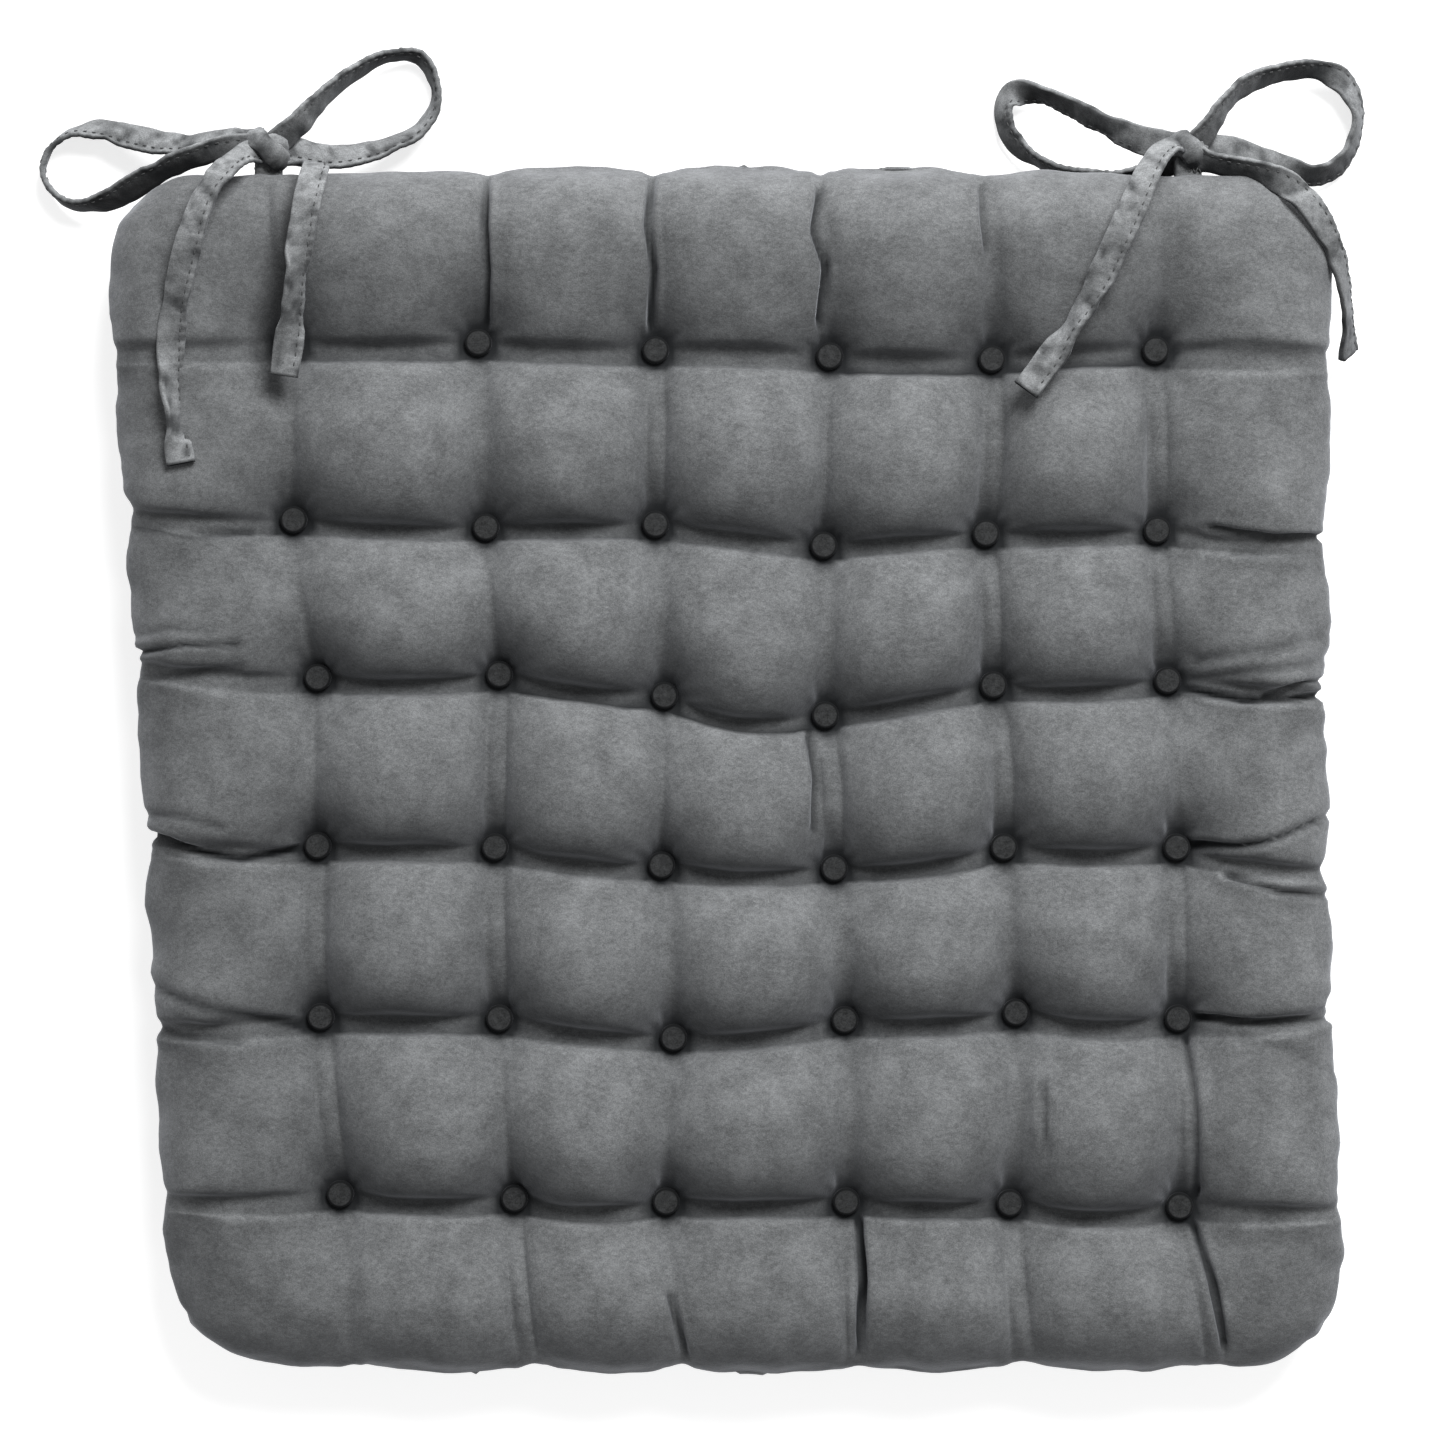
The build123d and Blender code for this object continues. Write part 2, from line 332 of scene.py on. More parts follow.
# Painted light and shade on the straps: lighter where a strap faces the back, darker where it faces the
# front, in its ripples and pinches and inside its open ends.
STRAP_SUEDE = nap_material(
    "strap_microsuede", grey(0.08), grey(0.125), grey(0.18), bump=0.3, clouds=260.0, sheen=0.15,
    folded=0.95, backlight_range=(0.08, 2.1),
)
THREAD = thread_material("dark_thread", grey(0.035), grey(0.07))
SEAM_THREAD = thread_material("seam_thread", grey(0.04), grey(0.09))
paint_rim_shade(BUTTON_SUEDE)
CORE_PLASTIC = plastic_material("button_core_plastic", grey(0.04), grey(0.06))
FIBRE = fibre_material()


def finish(piece, material):
    """Puts a new piece on the pad's body with its material."""
    piece.data.materials.clear()
    piece.data.materials.append(material)
    for polygon in piece.data.polygons:
        polygon.use_smooth = True
    # Painted light: stores how far each point faces the back, which the folded materials turn into lighter
    # or darker colour.
    if "painted_backlight" not in piece.data.attributes:
        lies = piece.data.attributes.new("painted_backlight", "FLOAT", "POINT").data
        for vertex in piece.data.vertices:
            lies[vertex.index].value = vertex.normal.y
    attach(piece, "root")


def mesh_piece(name, vertices, faces):
    mesh = bpy.data.meshes.new(name)
    mesh.from_pydata(vertices, [], faces)
    sorter = bmesh.new()
    sorter.from_mesh(mesh)
    bmesh.ops.recalc_face_normals(sorter, faces=sorter.faces)
    sorter.to_mesh(mesh)
    sorter.free()
    mesh.update()
    piece = bpy.data.objects.new(name, mesh)
    bpy.context.scene.collection.objects.link(piece)
    return piece


def apply_modifiers(piece):
    bpy.ops.object.select_all(action="DESELECT")
    piece.select_set(True)
    bpy.context.view_layer.objects.active = piece
    for modifier in list(piece.modifiers):
        bpy.ops.object.modifier_apply(modifier=modifier.name)


# ---- ties -----------------------------------------------------------------------------------

STRAP_WIDTH = 9.4 * MM
STRAP_THICKNESS = 1.7 * MM
STRAP_STEP = 1.1 * MM
STITCH_PITCH = 3.3 * MM
STITCH_LENGTH = 1.4 * MM
STITCH_INSET = 1.9 * MM

# Each strap's route in millimetres, and the way its face looks at each point of it.
STRAPS = {
    "left_tie_outer_loop": [
        ((-155, 210, 25), (0, 0.3, 1)), ((-164, 210.8, 24), (0, 0.4, 1)),
        ((-175, 210.2, 20), (0, 0.4, 1)), ((-187, 209.5, 15), (0, 0.35, 1)),
        ((-200, 213, 10), (0, 0.35, 1)), ((-213, 217, 6.5), (-0.1, 0.5, 0.9)),
        ((-225, 214.5, 5.4), (-0.6, 0.6, 0.45)), ((-232, 205.5, 5.1), (-1, 0, 0.12)),
        ((-229.5, 195, 5.6), (-0.75, -0.6, 0.25)), ((-219.5, 189.3, 8), (-0.15, -0.85, 0.55)),
        ((-207, 191, 14), (0, -0.8, 0.65)), ((-195, 197, 22.5), (0.1, -0.75, 0.7)),
        ((-183, 202.3, 28), (0.1, -0.7, 0.75)), ((-172, 205.8, 29.5), (0.1, -0.65, 0.8)),
        ((-163, 207.3, 29), (0, -0.5, 0.9)), ((-156, 207, 27.5), (0, -0.3, 1)),
    ],
    "left_tie_outer_tail": [
        ((-156, 206, 28), (0, 0.1, 1)), ((-161, 204, 35), (-0.1, 0.75, 0.65)),
        ((-166, 198, 44), (-0.15, 0.75, 0.65)), ((-171.5, 189, 50.5), (-0.1, 0.4, 0.9)),
        ((-175.5, 176, 52), (0, 0, 1)), ((-179.3, 162, 50), (0, -0.1, 1)),
        ((-182.3, 148, 47), (0.2, -0.1, 1)), ((-183.3, 133, 46), (0.75, 0, 0.65)),
        ((-182.2, 118, 48), (1.0, 0, 0.25)), ((-179, 100.5, 50), (0.2, 0.1, 1)),
    ],
    "left_tie_inner_loop": [
        ((-151, 208, 27), (0.2, -0.3, 0.9)), ((-144.5, 213.5, 27.5), (0.35, -0.5, 0.8)),
        ((-138, 221, 24), (0.5, -0.6, 0.6)), ((-130.5, 230, 17.5), (0.5, -0.65, 0.55)),
        ((-120.5, 238, 10.5), (0.4, -0.75, 0.5)), ((-108.5, 243, 6), (-0.1, -0.95, 0.35)),
        ((-100, 238, 5.2), (-0.85, -0.4, 0.4)), ((-97.3, 227.5, 5.2), (-0.95, 0.1, 0.3)),
        ((-101, 217.5, 6), (-0.6, 0.55, 0.6)), ((-111, 211, 9.5), (-0.25, 0.6, 0.8)),
        ((-122, 206.8, 14.5), (-0.1, 0.45, 0.9)), ((-133, 204.8, 19), (0, 0.35, 0.95)),
        ((-143, 206.8, 23), (0, 0.3, 0.95)), ((-151, 208, 24), (0, 0.3, 1)),
    ],
    "left_tie_inner_tail": [
        ((-151, 204, 23), (0, 0.9, 0.4)), ((-143.5, 202.3, 22.5), (0, 1, 0.2)),
        ((-137.5, 201.5, 28), (0, 1, 0.1)), ((-135.5, 200.5, 37), (0, 1, 0.25)),
        ((-136, 196.3, 45), (0.05, 0.8, 0.6)), ((-137.3, 188, 50.5), (0.3, 0.35, 0.9)),
        ((-139.5, 175.5, 52.5), (0.75, 0, 0.6)), ((-141.5, 161, 51.5), (0.6, -0.1, 0.8)),
        ((-143, 145.5, 48), (0, -0.1, 1)), ((-145.5, 129.5, 47), (-0.1, 0.1, 1)),
    ],
    "right_tie_inner_loop": [
        ((151, 208.5, 26.5), (-0.1, -0.2, 1)), ((142.5, 208.5, 26), (-0.15, -0.3, 0.95)),
        ((133.5, 212.3, 22.5), (-0.2, -0.45, 0.85)), ((123.5, 218.3, 17), (-0.25, -0.6, 0.75)),
        ((113.5, 224.5, 11), (-0.3, -0.7, 0.6)), ((103, 229.3, 7), (-0.35, -0.8, 0.4)),
        ((95.3, 228, 5.6), (-0.75, -0.3, 0.55)), ((93, 220.5, 5.2), (-0.85, 0.1, 0.55)),
        ((96.8, 212, 6), (-0.65, -0.35, 0.65)), ((105, 204.8, 9), (-0.3, -0.8, 0.5)),
        ((116, 200, 14.5), (0, -0.9, 0.4)), ((127.5, 198.8, 19), (0.05, -0.9, 0.4)),
        ((138.5, 199, 22.5), (0.05, -0.85, 0.5)), ((147, 201.6, 23.5), (0, -0.6, 0.8)),
        ((152, 204.5, 22.5), (0, -0.3, 0.95)),
    ],
    "right_tie_inner_tail": [
        ((152, 208, 29), (-0.1, 0.2, 1)), ((147, 207, 36.5), (-0.4, 0.6, 0.75)),
        ((142, 202.5, 43.5), (-0.3, 0.75, 0.65)), ((138, 195, 49.5), (-0.25, 0.55, 0.8)),
        ((133.5, 184.5, 53), (-0.1, 0.1, 1)), ((128, 173, 53.3), (0, 0, 1)),
        ((122.5, 160.5, 52), (-0.35, 0.1, 0.9)), ((116, 148.5, 49.5), (-0.7, 0.2, 0.6)),
        ((107.5, 136.5, 48), (-0.1, -0.1, 1)), ((98.5, 124.8, 49), (-0.1, 0.1, 1)),
    ],
    "right_tie_outer_loop": [
        ((156.5, 208.5, 27.5), (0.2, -0.4, 0.9)), ((161.5, 214, 28.5), (0.35, -0.55, 0.75)),
        ((165.5, 221, 27), (0.45, -0.6, 0.65)), ((172.5, 228.5, 22), (0.4, -0.65, 0.6)),
        ((183, 233.3, 15.5), (0.2, -0.75, 0.6)), ((195, 236.6, 10), (0.1, -0.7, 0.65)),
        ((206.5, 234.8, 6.5), (0.2, -0.2, 0.9)), ((213, 227.3, 5.2), (0.55, 0.15, 0.8)),
        ((214.3, 217, 5), (0.85, 0.1, 0.5)), ((210.5, 207, 5.5), (0.75, -0.4, 0.55)),
        ((203, 200.2, 7), (0.4, -0.55, 0.75)), ((192.5, 200.5, 10.5), (0.1, -0.4, 0.9)),
        ((182, 204.3, 15.5), (0, 0.1, 1)), ((171.5, 207, 20), (0, 0.2, 1)),
        ((162.5, 207.8, 23.5), (0, 0.2, 1)), ((156, 207.5, 24.5), (0, 0.2, 1)),
    ],
    "right_tie_outer_tail": [
        ((157, 204, 27.5), (0, -0.7, 0.7)), ((164.5, 201, 30), (0, -0.8, 0.6)),
        ((174, 199, 34), (0, -0.8, 0.6)), ((182.5, 196, 37.5), (0.3, -0.65, 0.7)),
        ((189.5, 190.8, 39.5), (0.5, 0.05, 0.85)), ((195.2, 184.3, 39.5), (0.5, 0.25, 0.8)),
        ((199.8, 176.5, 37.5), (0.75, 0.1, 0.65)), ((204, 168, 33), (0.9, 0.1, 0.4)),
        ((207, 158, 27), (0.9, 0.1, 0.45)), ((208.5, 148, 20), (0.8, 0.05, 0.6)),
        ((209.5, 139.5, 13.5), (0.7, 0, 0.7)),
    ],
}


def route_line(name, points):
    """The smooth line through a route: a NURBS spline with the route's points as control points."""
    curve = bpy.data.curves.new(f"{name}_route", "CURVE")
    curve.dimensions = "3D"
    curve.resolution_u = 24
    spline = curve.splines.new("NURBS")
    spline.points.add(len(points) - 1)
    for place, point in zip(spline.points, points):
        place.co = (*(value * MM for value in point), 1)
    spline.order_u = 3
    spline.use_endpoint_u = True
    holder = bpy.data.objects.new(curve.name, curve)
    bpy.context.scene.collection.objects.link(holder)
    mesh = bpy.data.meshes.new_from_object(holder)
    line = [vertex.co.copy() for vertex in mesh.vertices]
    bpy.data.objects.remove(holder)
    bpy.data.curves.remove(curve)
    bpy.data.meshes.remove(mesh)
    return line


def even_steps(line, step):
    """The same line with its points a step apart, and how far along each one is, from 0 to 1."""
    lengths = [0.0]
    for before, after in zip(line, line[1:]):
        lengths.append(lengths[-1] + (after - before).length)
    count = max(8, round(lengths[-1] / step))
    points, shares, place = [], [], 0
    for index in range(count + 1):
        target = lengths[-1] * index / count
        while place < len(line) - 2 and lengths[place + 1] < target:
            place += 1
        span = lengths[place + 1] - lengths[place] or 1.0
        points.append(line[place].lerp(line[place + 1], min(1.0, (target - lengths[place]) / span)))
        shares.append(index / count)
    return points, shares, lengths[-1]


def strap_frames(points, shares, facings, seed):
    """Tangent, face direction and width direction at every point of a strap, which wrings a little."""
    frames = []
    last = len(facings) - 1
    for index, (point, share) in enumerate(zip(points, shares)):
        before, after = points[max(index - 1, 0)], points[min(index + 1, len(points) - 1)]
        tangent = (after - before).normalized()
        whole = min(int(share * last), last - 1)
        part = share * last - whole
        part = part * part * (3 - 2 * part)
        face = Vector(facings[whole]).normalized().lerp(Vector(facings[whole + 1]).normalized(), part)
        face = (face - tangent * face.dot(tangent)).normalized()
        wring = noise.noise(Vector((index * STRAP_STEP * 42, seed * 7.3, 0)))
        face = Quaternion(tangent, 0.42 * wring) @ face
        frames.append((point, tangent, face, tangent.cross(face)))
    return frames


def strap_section(width, thickness):
    """Half outline points of a folded strap, round its edges, as (across, out) pairs."""
    half, flat = width / 2, thickness / 2
    upper = [
        (-half, 0.0), (-half * 0.97, flat * 0.75), (-half * 0.86, flat * 1.05),
        (-half * 0.64, flat * 0.72), (-half * 0.5, flat * 1.0), (0.0, flat * 1.08),
        (half * 0.55, flat * 1.0), (half * 0.88, flat * 1.02), (half * 0.97, flat * 0.75),
    ]
    return upper + [(-across, -out) for across, out in upper]


def sweep_strap(name, frames, seed, open_end=False, wide=1.0, curl=0.0):
    """A folded strap along its frames, puckered a little along its stitched edge, cut at its ends, with
    painted shade in its ripples and pinches and inside its open end.
    """
    section = strap_section(STRAP_WIDTH, STRAP_THICKNESS)
    count = len(section)
    vertices, faces = [], []
    total = len(frames)
    crease_shade = []
    for index, (point, tangent, face, across) in enumerate(frames):
        along = index * STRAP_STEP
        pinch = max(0.0, noise.noise(Vector((along * 95, seed * 3.1, 5))) - 0.12)
        swell = wide * (1 + 0.1 * noise.noise(Vector((along * 60, seed, 0))) - 0.45 * pinch)
        lift = 0.0005 * noise.noise(Vector((along * 130, seed, 3)))
        opened = 1.0
        if open_end and index > total - 6:
            opened = 1 + 0.14 * (index - total + 6)
        for aside, out in section:
            slant = along * 210 + aside * 120
            ripple = 0.0004 * noise.noise(Vector((slant, aside * 260 + seed, 7)))
            # Painted shade in the hollows of the ripples and where the strap pinches.
            crease_shade.append(min(0.8, max(0.0, -ripple * 3200) + 1.3 * pinch))
            pucker = 0.0
            if aside < -STRAP_WIDTH * 0.2:
                pucker = 0.00018 * math.sin(along / STITCH_PITCH * 2 * math.pi)
            height = out * opened + lift + (ripple + pucker) * (1 if out >= 0 else 0.6)
            height -= curl * (aside / (STRAP_WIDTH / 2)) ** 2
            vertices.append(point + across * (aside * swell) + face * height)
    for ring in range(total - 1):
        for side in range(count):
            here, there = ring * count + side, ring * count + (side + 1) % count
            faces.append((here, there, there + count, here + count))
    faces.append(tuple(reversed(range(count))))
    end = (total - 1) * count
    if open_end:
        mouth = len(vertices)
        point, tangent, face, across = frames[-1]
        for scale, depth in ((0.86, 0.0), (0.8, 0.0022)):
            for aside, out in section:
                thin = 0.5 if depth == 0 else 0.42
                vertices.append(
                    point + across * aside * scale + face * out * 1.8 * thin - tangent * depth
                )
        for ring, first in ((end, mouth), (mouth, mouth + count)):
            for side in range(count):
                turn = (side + 1) % count
                faces.append((ring + side, ring + turn, first + turn, first + side))
        faces.append(tuple(range(mouth + count, mouth + 2 * count)))
    else:
        faces.append(tuple(range(end, end + count)))
    strap = mesh_piece(name, vertices, faces)
    depth = strap.data.attributes.new("fold", "FLOAT", "POINT").data
    for index, crease in enumerate(crease_shade):
        depth[index].value = crease
    # Painted shade inside the open end.
    for index in range(len(crease_shade), len(vertices)):
        depth[index].value = 0.95
    return strap


def stitch_solid(vertices, faces, middle, along, out, length, thick):
    """Adds one small rounded stitch lying along a direction on a surface."""
    side = along.cross(out)
    first = len(vertices)
    for share, scale in ((-0.5, 0.25), (-0.34, 0.9), (0.34, 0.9), (0.5, 0.25)):
        for turn in range(6):
            angle = turn * math.pi / 3
            ring = side * math.cos(angle) + out * math.sin(angle)
            vertices.append(middle + along * (length * share) + ring * (thick * scale / 2))
    for ring in range(3):
        for turn in range(6):
            here = first + ring * 6 + turn
            there = first + ring * 6 + (turn + 1) % 6
            faces.append((here, there, there + 6, here + 6))
    faces.append(tuple(first + turn for turn in range(5, -1, -1)))
    faces.append(tuple(first + 18 + turn for turn in range(6)))


def strap_stitches(name, frames, seed):
    """The topstitching near one edge of a strap, seen on both its faces."""
    vertices, faces = [], []
    every = STITCH_PITCH / STRAP_STEP
    place = 2.0
    rng = random.Random(seed)
    while place < len(frames) - 3:
        point, tangent, face, across = frames[int(round(place))]
        for side in (1, -1):
            middle = point - across * (STRAP_WIDTH / 2 - STITCH_INSET)
            middle = middle + face * side * STRAP_THICKNESS * 0.56
            lean = across * rng.uniform(-0.12, 0.12)
            along = (tangent + lean).normalized()
            stitch_solid(vertices, faces, middle, along, face * side, STITCH_LENGTH, 0.45 * MM)
        place += every
    return mesh_piece(name, vertices, faces)


def make_strap(name, seed):
    """One loop or tail of a tie, with its stitches."""
    entries = STRAPS[name]
    line = route_line(name, [point for point, _ in entries])
    points, shares, length = even_steps(line, STRAP_STEP)
    tail = name.endswith("tail")
    tilt = 1.0 if tail else 0.75  # the loops stand more on edge than the tails
    frames = strap_frames(points, shares, [(x, y, z * tilt) for _, (x, y, z) in entries], seed)
    strap = sweep_strap(f"{name}_strap", frames, seed, open_end=tail)
    finish(strap, STRAP_SUEDE)
    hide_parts(name)
    stitches = strap_stitches(f"{name}_stitches", frames, seed)
    finish(stitches, THREAD)


def strap_lengths(name, runs, seed, wide=1.0, curl=0.0):
    """Short lengths of strap, each a list of (point, facing), joined in one mesh."""
    pieces = []
    for number, entries in enumerate(runs):
        line = route_line(f"{name}_{number}", [point for point, _ in entries])
        points, shares, _ = even_steps(line, STRAP_STEP)
        frames = strap_frames(points, shares, [facing for _, facing in entries], seed + number)
        pieces.append(sweep_strap(f"{name}_{number}", frames, seed + number, wide=wide, curl=curl))
    bpy.ops.object.select_all(action="DESELECT")
    for piece in pieces:
        piece.select_set(True)
    bpy.context.view_layer.objects.active = pieces[0]
    bpy.ops.object.join()
    joined = bpy.context.object
    joined.name = name
    return joined


def make_root(side):
    """The folded middle of a tie, two layers one on the other, from inside the seam to the knot."""
    middle = KNOTS[side] / MM
    runs = []
    for layer in (-0.9, 0.9):
        runs.append([
            ((middle.x, 186.0, 25 + layer), (0, 0, 1)),
            ((middle.x + 0.4, 197.0, 25 + layer), (0, -0.1, 1)),
            ((middle.x + 0.2, 203.5, 25.6 + layer), (0, -0.15, 1)),
            ((middle.x, 208.0, 26 + layer), (0, 0, 1)),
        ])
    root = strap_lengths(f"{side}_root_layers", runs, 21)
    finish(root, STRAP_SUEDE)
    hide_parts(f"{side}_tie_root")
    return root


# The direction in plan that each knot's wrap passes over the top, and the wrap's half length.
WRAPS = {"left": (0.72, -0.69, 8.4), "right": (0.62, -0.78, 6.6)}


def make_knot(side):
    """A knot: bunched strap inside, and the wrap that the two loops are pulled through."""
    centre = KNOTS[side] / MM
    way_x, way_y, half = WRAPS[side]
    turns = 13
    wraps = []
    for turned, reach, rise, spin in ((0.0, half, 6.6, -0.62), (1.15, half - 2.0, 5.2, -0.55)):
        way = Vector((
            way_x * math.cos(turned) - way_y * math.sin(turned),
            way_x * math.sin(turned) + way_y * math.cos(turned),
        ))
        wrap = []
        for step in range(turns):
            angle = spin * math.pi + 2.24 * math.pi * step / (turns - 1)
            shrink = 1 - 0.035 * step / turns
            out = Vector((way.x * math.cos(angle), way.y * math.cos(angle), math.sin(angle)))
            point = centre + shrink * Vector((
                way.x * reach * math.cos(angle), way.y * reach * math.cos(angle), rise * math.sin(angle)
            ))
            wrap.append((tuple(point), tuple(out)))
        wraps.append(wrap)
    band = strap_lengths(f"{side}_knot_wrap", wraps, 31, wide=0.86, curl=1.5 * MM)
    finish(band, STRAP_SUEDE)

    bpy.ops.object.select_all(action="DESELECT")
    bpy.ops.mesh.primitive_uv_sphere_add(segments=40, ring_count=24, radius=1.0, location=(0, 0, 0))
    core = bpy.context.object
    core.name = f"{side}_knot_core"
    for vertex in core.data.vertices:
        way = vertex.co.copy()
        folds = 0.10 * math.sin(9 * math.atan2(way.z, way.y) + 2.5 * way.x)
        lumps = 0.16 * noise.noise(way * 2.2 + Vector((5.0 if side == "left" else 9.0, 0, 0)))
        size = 1 + folds * (1 - abs(way.x)) + lumps
        vertex.co = Vector((
            centre.x + 6.6 * way.x * size, centre.y + 4.6 * way.y * size, centre.z + 4.2 * way.z * size
        )) * MM
    finish(core, STRAP_SUEDE)
    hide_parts(f"{side}_bow_knot")
    return band, core


# Each bow's root and knot are made first, then its loops and tails.
for bow_side in ("left", "right"):
    middle_pieces = [make_root(bow_side), *make_knot(bow_side)]
    for seed, strap_name in enumerate(STRAPS, start=1):
        if strap_name.startswith(bow_side):
            make_strap(strap_name, seed)

# ---- pad: plan ------------------------------------------------------------------------------

CELLS = ROWS + 1
OUTLINE_STEPS = 720  # places round the seam, two to a degree
# Where the mesh lines cross a cell, gathered where the cloth turns sharply.
LINES_V = (
    0, 0.02, 0.045, 0.075, 0.115, 0.165, 0.225, 0.3, 0.38, 0.46, 0.54, 0.62, 0.7, 0.77, 0.83, 0.87,
    0.893, 0.906, 0.95, 1,
)
LINES_U = (
    0, 0.035, 0.058, 0.072, 0.095, 0.14, 0.2, 0.28, 0.37, 0.455, 0.545, 0.63, 0.72, 0.8, 0.86,
    0.905, 0.928, 0.942, 0.965, 1,
)
LINES_RIM = (
    0, 0.02, 0.045, 0.08, 0.125, 0.18, 0.245, 0.32, 0.4, 0.48, 0.56, 0.64, 0.72, 0.79, 0.85, 0.895,
    0.928, 0.942, 0.965, 1,
)
STEPS = len(LINES_V) - 1  # faces along each side of a cell
FOLD_EDGE = 0.9  # where, along a cell, the cloth drops to the channel behind it
SIDE = CELLS * STEPS


def seam_outline():
    """The pad's edge in plan, a point at every half degree round its middle, from the CAD panel."""
    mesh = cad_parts["top_panel"].data
    level = [abs(vertex.co.z - SEAM_Z) < 0.02 * MM for vertex in mesh.vertices]
    spans = []
    for edge in mesh.edges:
        a, b = edge.vertices
        if level[a] and level[b]:
            spans.append((mesh.vertices[a].co.xy, mesh.vertices[b].co.xy))
    outline = []
    for step in range(OUTLINE_STEPS):
        angle = math.radians(step / 2)
        way = Vector((math.cos(angle), math.sin(angle)))
        aside = Vector((-way.y, way.x))
        reach = 0.0
        for a, b in spans:
            da, db = a.dot(aside), b.dot(aside)
            if (da > 0) == (db > 0):
                continue
            share = da / (da - db)
            reach = max(reach, a.lerp(b, share).dot(way))
        outline.append(way * reach)
    # The slots that the ties pass through are sewn shut in the cloth.
    back = max(point.y for point in outline)
    for index, point in enumerate(outline):
        for knot in KNOTS.values():
            if point.y > 0.9 * back and abs(point.x - knot.x) < 9 * MM:
                outline[index] = point * (back / point.y)
    return outline


OUTLINE = seam_outline()


def outline_place(x, y):
    """The number of the outline point nearest a place given in millimetres."""
    target = Vector((x, y)) * MM
    return min(range(len(OUTLINE)), key=lambda k: (OUTLINE[k] - target).length)


# Where the sewn channels run out to the edge, in millimetres along each side.
FRONT_ENDS = [(x, -198) for x in (-125, -64, -14, 44, 99, 163)]
BACK_ENDS = [(x, 198) for x in (-150, -80, -25, 32, 86, 147)]
LEFT_ENDS = [(-195, y) for y in (-144, -85, -22, 37, 88, 142)]
RIGHT_ENDS = [(204, y) for y in (-148, -80, -34, 27, 78, 138)]
CORNERS = {(0, 0): (-178, -184), (1, 0): (199, -187), (0, 1): (-199, 188), (1, 1): (194, 188)}


def node_places():
    """Outline point numbers of every channel end and corner, keyed by (column, row)."""
    places = {}
    for index in range(ROWS):
        places[(index + 1, 0)] = outline_place(*FRONT_ENDS[index])
        places[(index + 1, CELLS)] = outline_place(*BACK_ENDS[index])
        places[(0, index + 1)] = outline_place(*LEFT_ENDS[index])
        places[(CELLS, index + 1)] = outline_place(*RIGHT_ENDS[index])
    for (right, back), place in CORNERS.items():
        places[(right * CELLS, back * CELLS)] = outline_place(*place)
    return places


PLACES = node_places()
NOTCH = 3.4 * MM  # how far the edge is drawn in where a channel ends
rng = random.Random(7)
BOWS = {}  # sideways bow of each channel between two buttons
for column in range(CELLS + 1):
    for row in range(CELLS + 1):
        BOWS[("across", column, row)] = rng.uniform(-1.8, 1.0) * MM
        BOWS[("along", column, row)] = rng.uniform(-1.3, 1.3) * MM
BOWS[("across", 3, 4)] = -4.5 * MM


def node(column, row):
    """A corner of a cell in plan: a button, or a point of the outline."""
    if (column, row) in PLACES:
        return OUTLINE[PLACES[(column, row)]]
    return TUFTS[row - 1][column - 1]


def outline_between(start, end, share):
    """A point of the outline between two of its points, drawn in at the channel ends."""
    first, last = PLACES[start], PLACES[end]
    half = OUTLINE_STEPS // 2
    gap = (last - first + half) % OUTLINE_STEPS - half
    place = (first + gap * share) % OUTLINE_STEPS
    low = int(place)
    point = OUTLINE[low].lerp(OUTLINE[(low + 1) % OUTLINE_STEPS], place - low)
    ends = (1 - share) ** 6 * (start not in SMOOTH_NODES) + share**6 * (end not in SMOOTH_NODES)
    return point - point.normalized() * NOTCH * ends


# The edge isn't drawn in at the corners, nor where the ties are sewn.
SMOOTH_NODES = {(right * CELLS, back * CELLS) for right, back in CORNERS} | {(1, CELLS), (ROWS, CELLS)}


def channel(start, end, share):
    """A point of the channel, or of the outline, between two neighbouring cell corners."""
    if start in PLACES and end in PLACES:
        return outline_between(start, end, share)
    a, b = node(*start), node(*end)
    across = start[1] == end[1]
    bow = BOWS[("across" if across else "along", *start)]
    run = b - a
    side = Vector((-run.y, run.x)).normalized() if across else Vector((run.y, -run.x)).normalized()
    return a.lerp(b, share) + side * bow * math.sin(math.pi * share)


def cell_point(column, row, u, v):
    """A Coons patch between a cell's four channels."""
    low = channel((column, row), (column + 1, row), u)
    high = channel((column, row + 1), (column + 1, row + 1), u)
    left = channel((column, row), (column, row + 1), v)
    right = channel((column + 1, row), (column + 1, row + 1), v)
    c00, c10 = channel((column, row), (column + 1, row), 0), channel((column, row), (column + 1, row), 1)
    c01 = channel((column, row + 1), (column + 1, row + 1), 0)
    c11 = channel((column, row + 1), (column + 1, row + 1), 1)
    ruled = low * (1 - v) + high * v + left * (1 - u) + right * u
    corners = c00 * (1 - u) * (1 - v) + c10 * u * (1 - v) + c01 * (1 - u) * v + c11 * u * v
    return ruled - corners


# ---- pad: the plump shape before the cloth settles ------------------------------------------

ROLL = 27 * MM  # width of the roll from the seam to the top
CROWN = TOP_Z - 0.6 * MM
ROW_RISE = 6.5 * MM  # how far a channel rises between two buttons of a row
COLUMN_RISE = 8.5 * MM
EDGE_RISE = 14.0 * MM  # and between a button and the front or back edge
SIDE_RISE = 18.0 * MM  # and the side edges
UNDER_CHANNEL = 4.5 * MM
BUTTON_SEAT = 4.7 * MM  # radius of the cloth pressed flat under a button
DIMPLE_REACH = 4.6 * MM
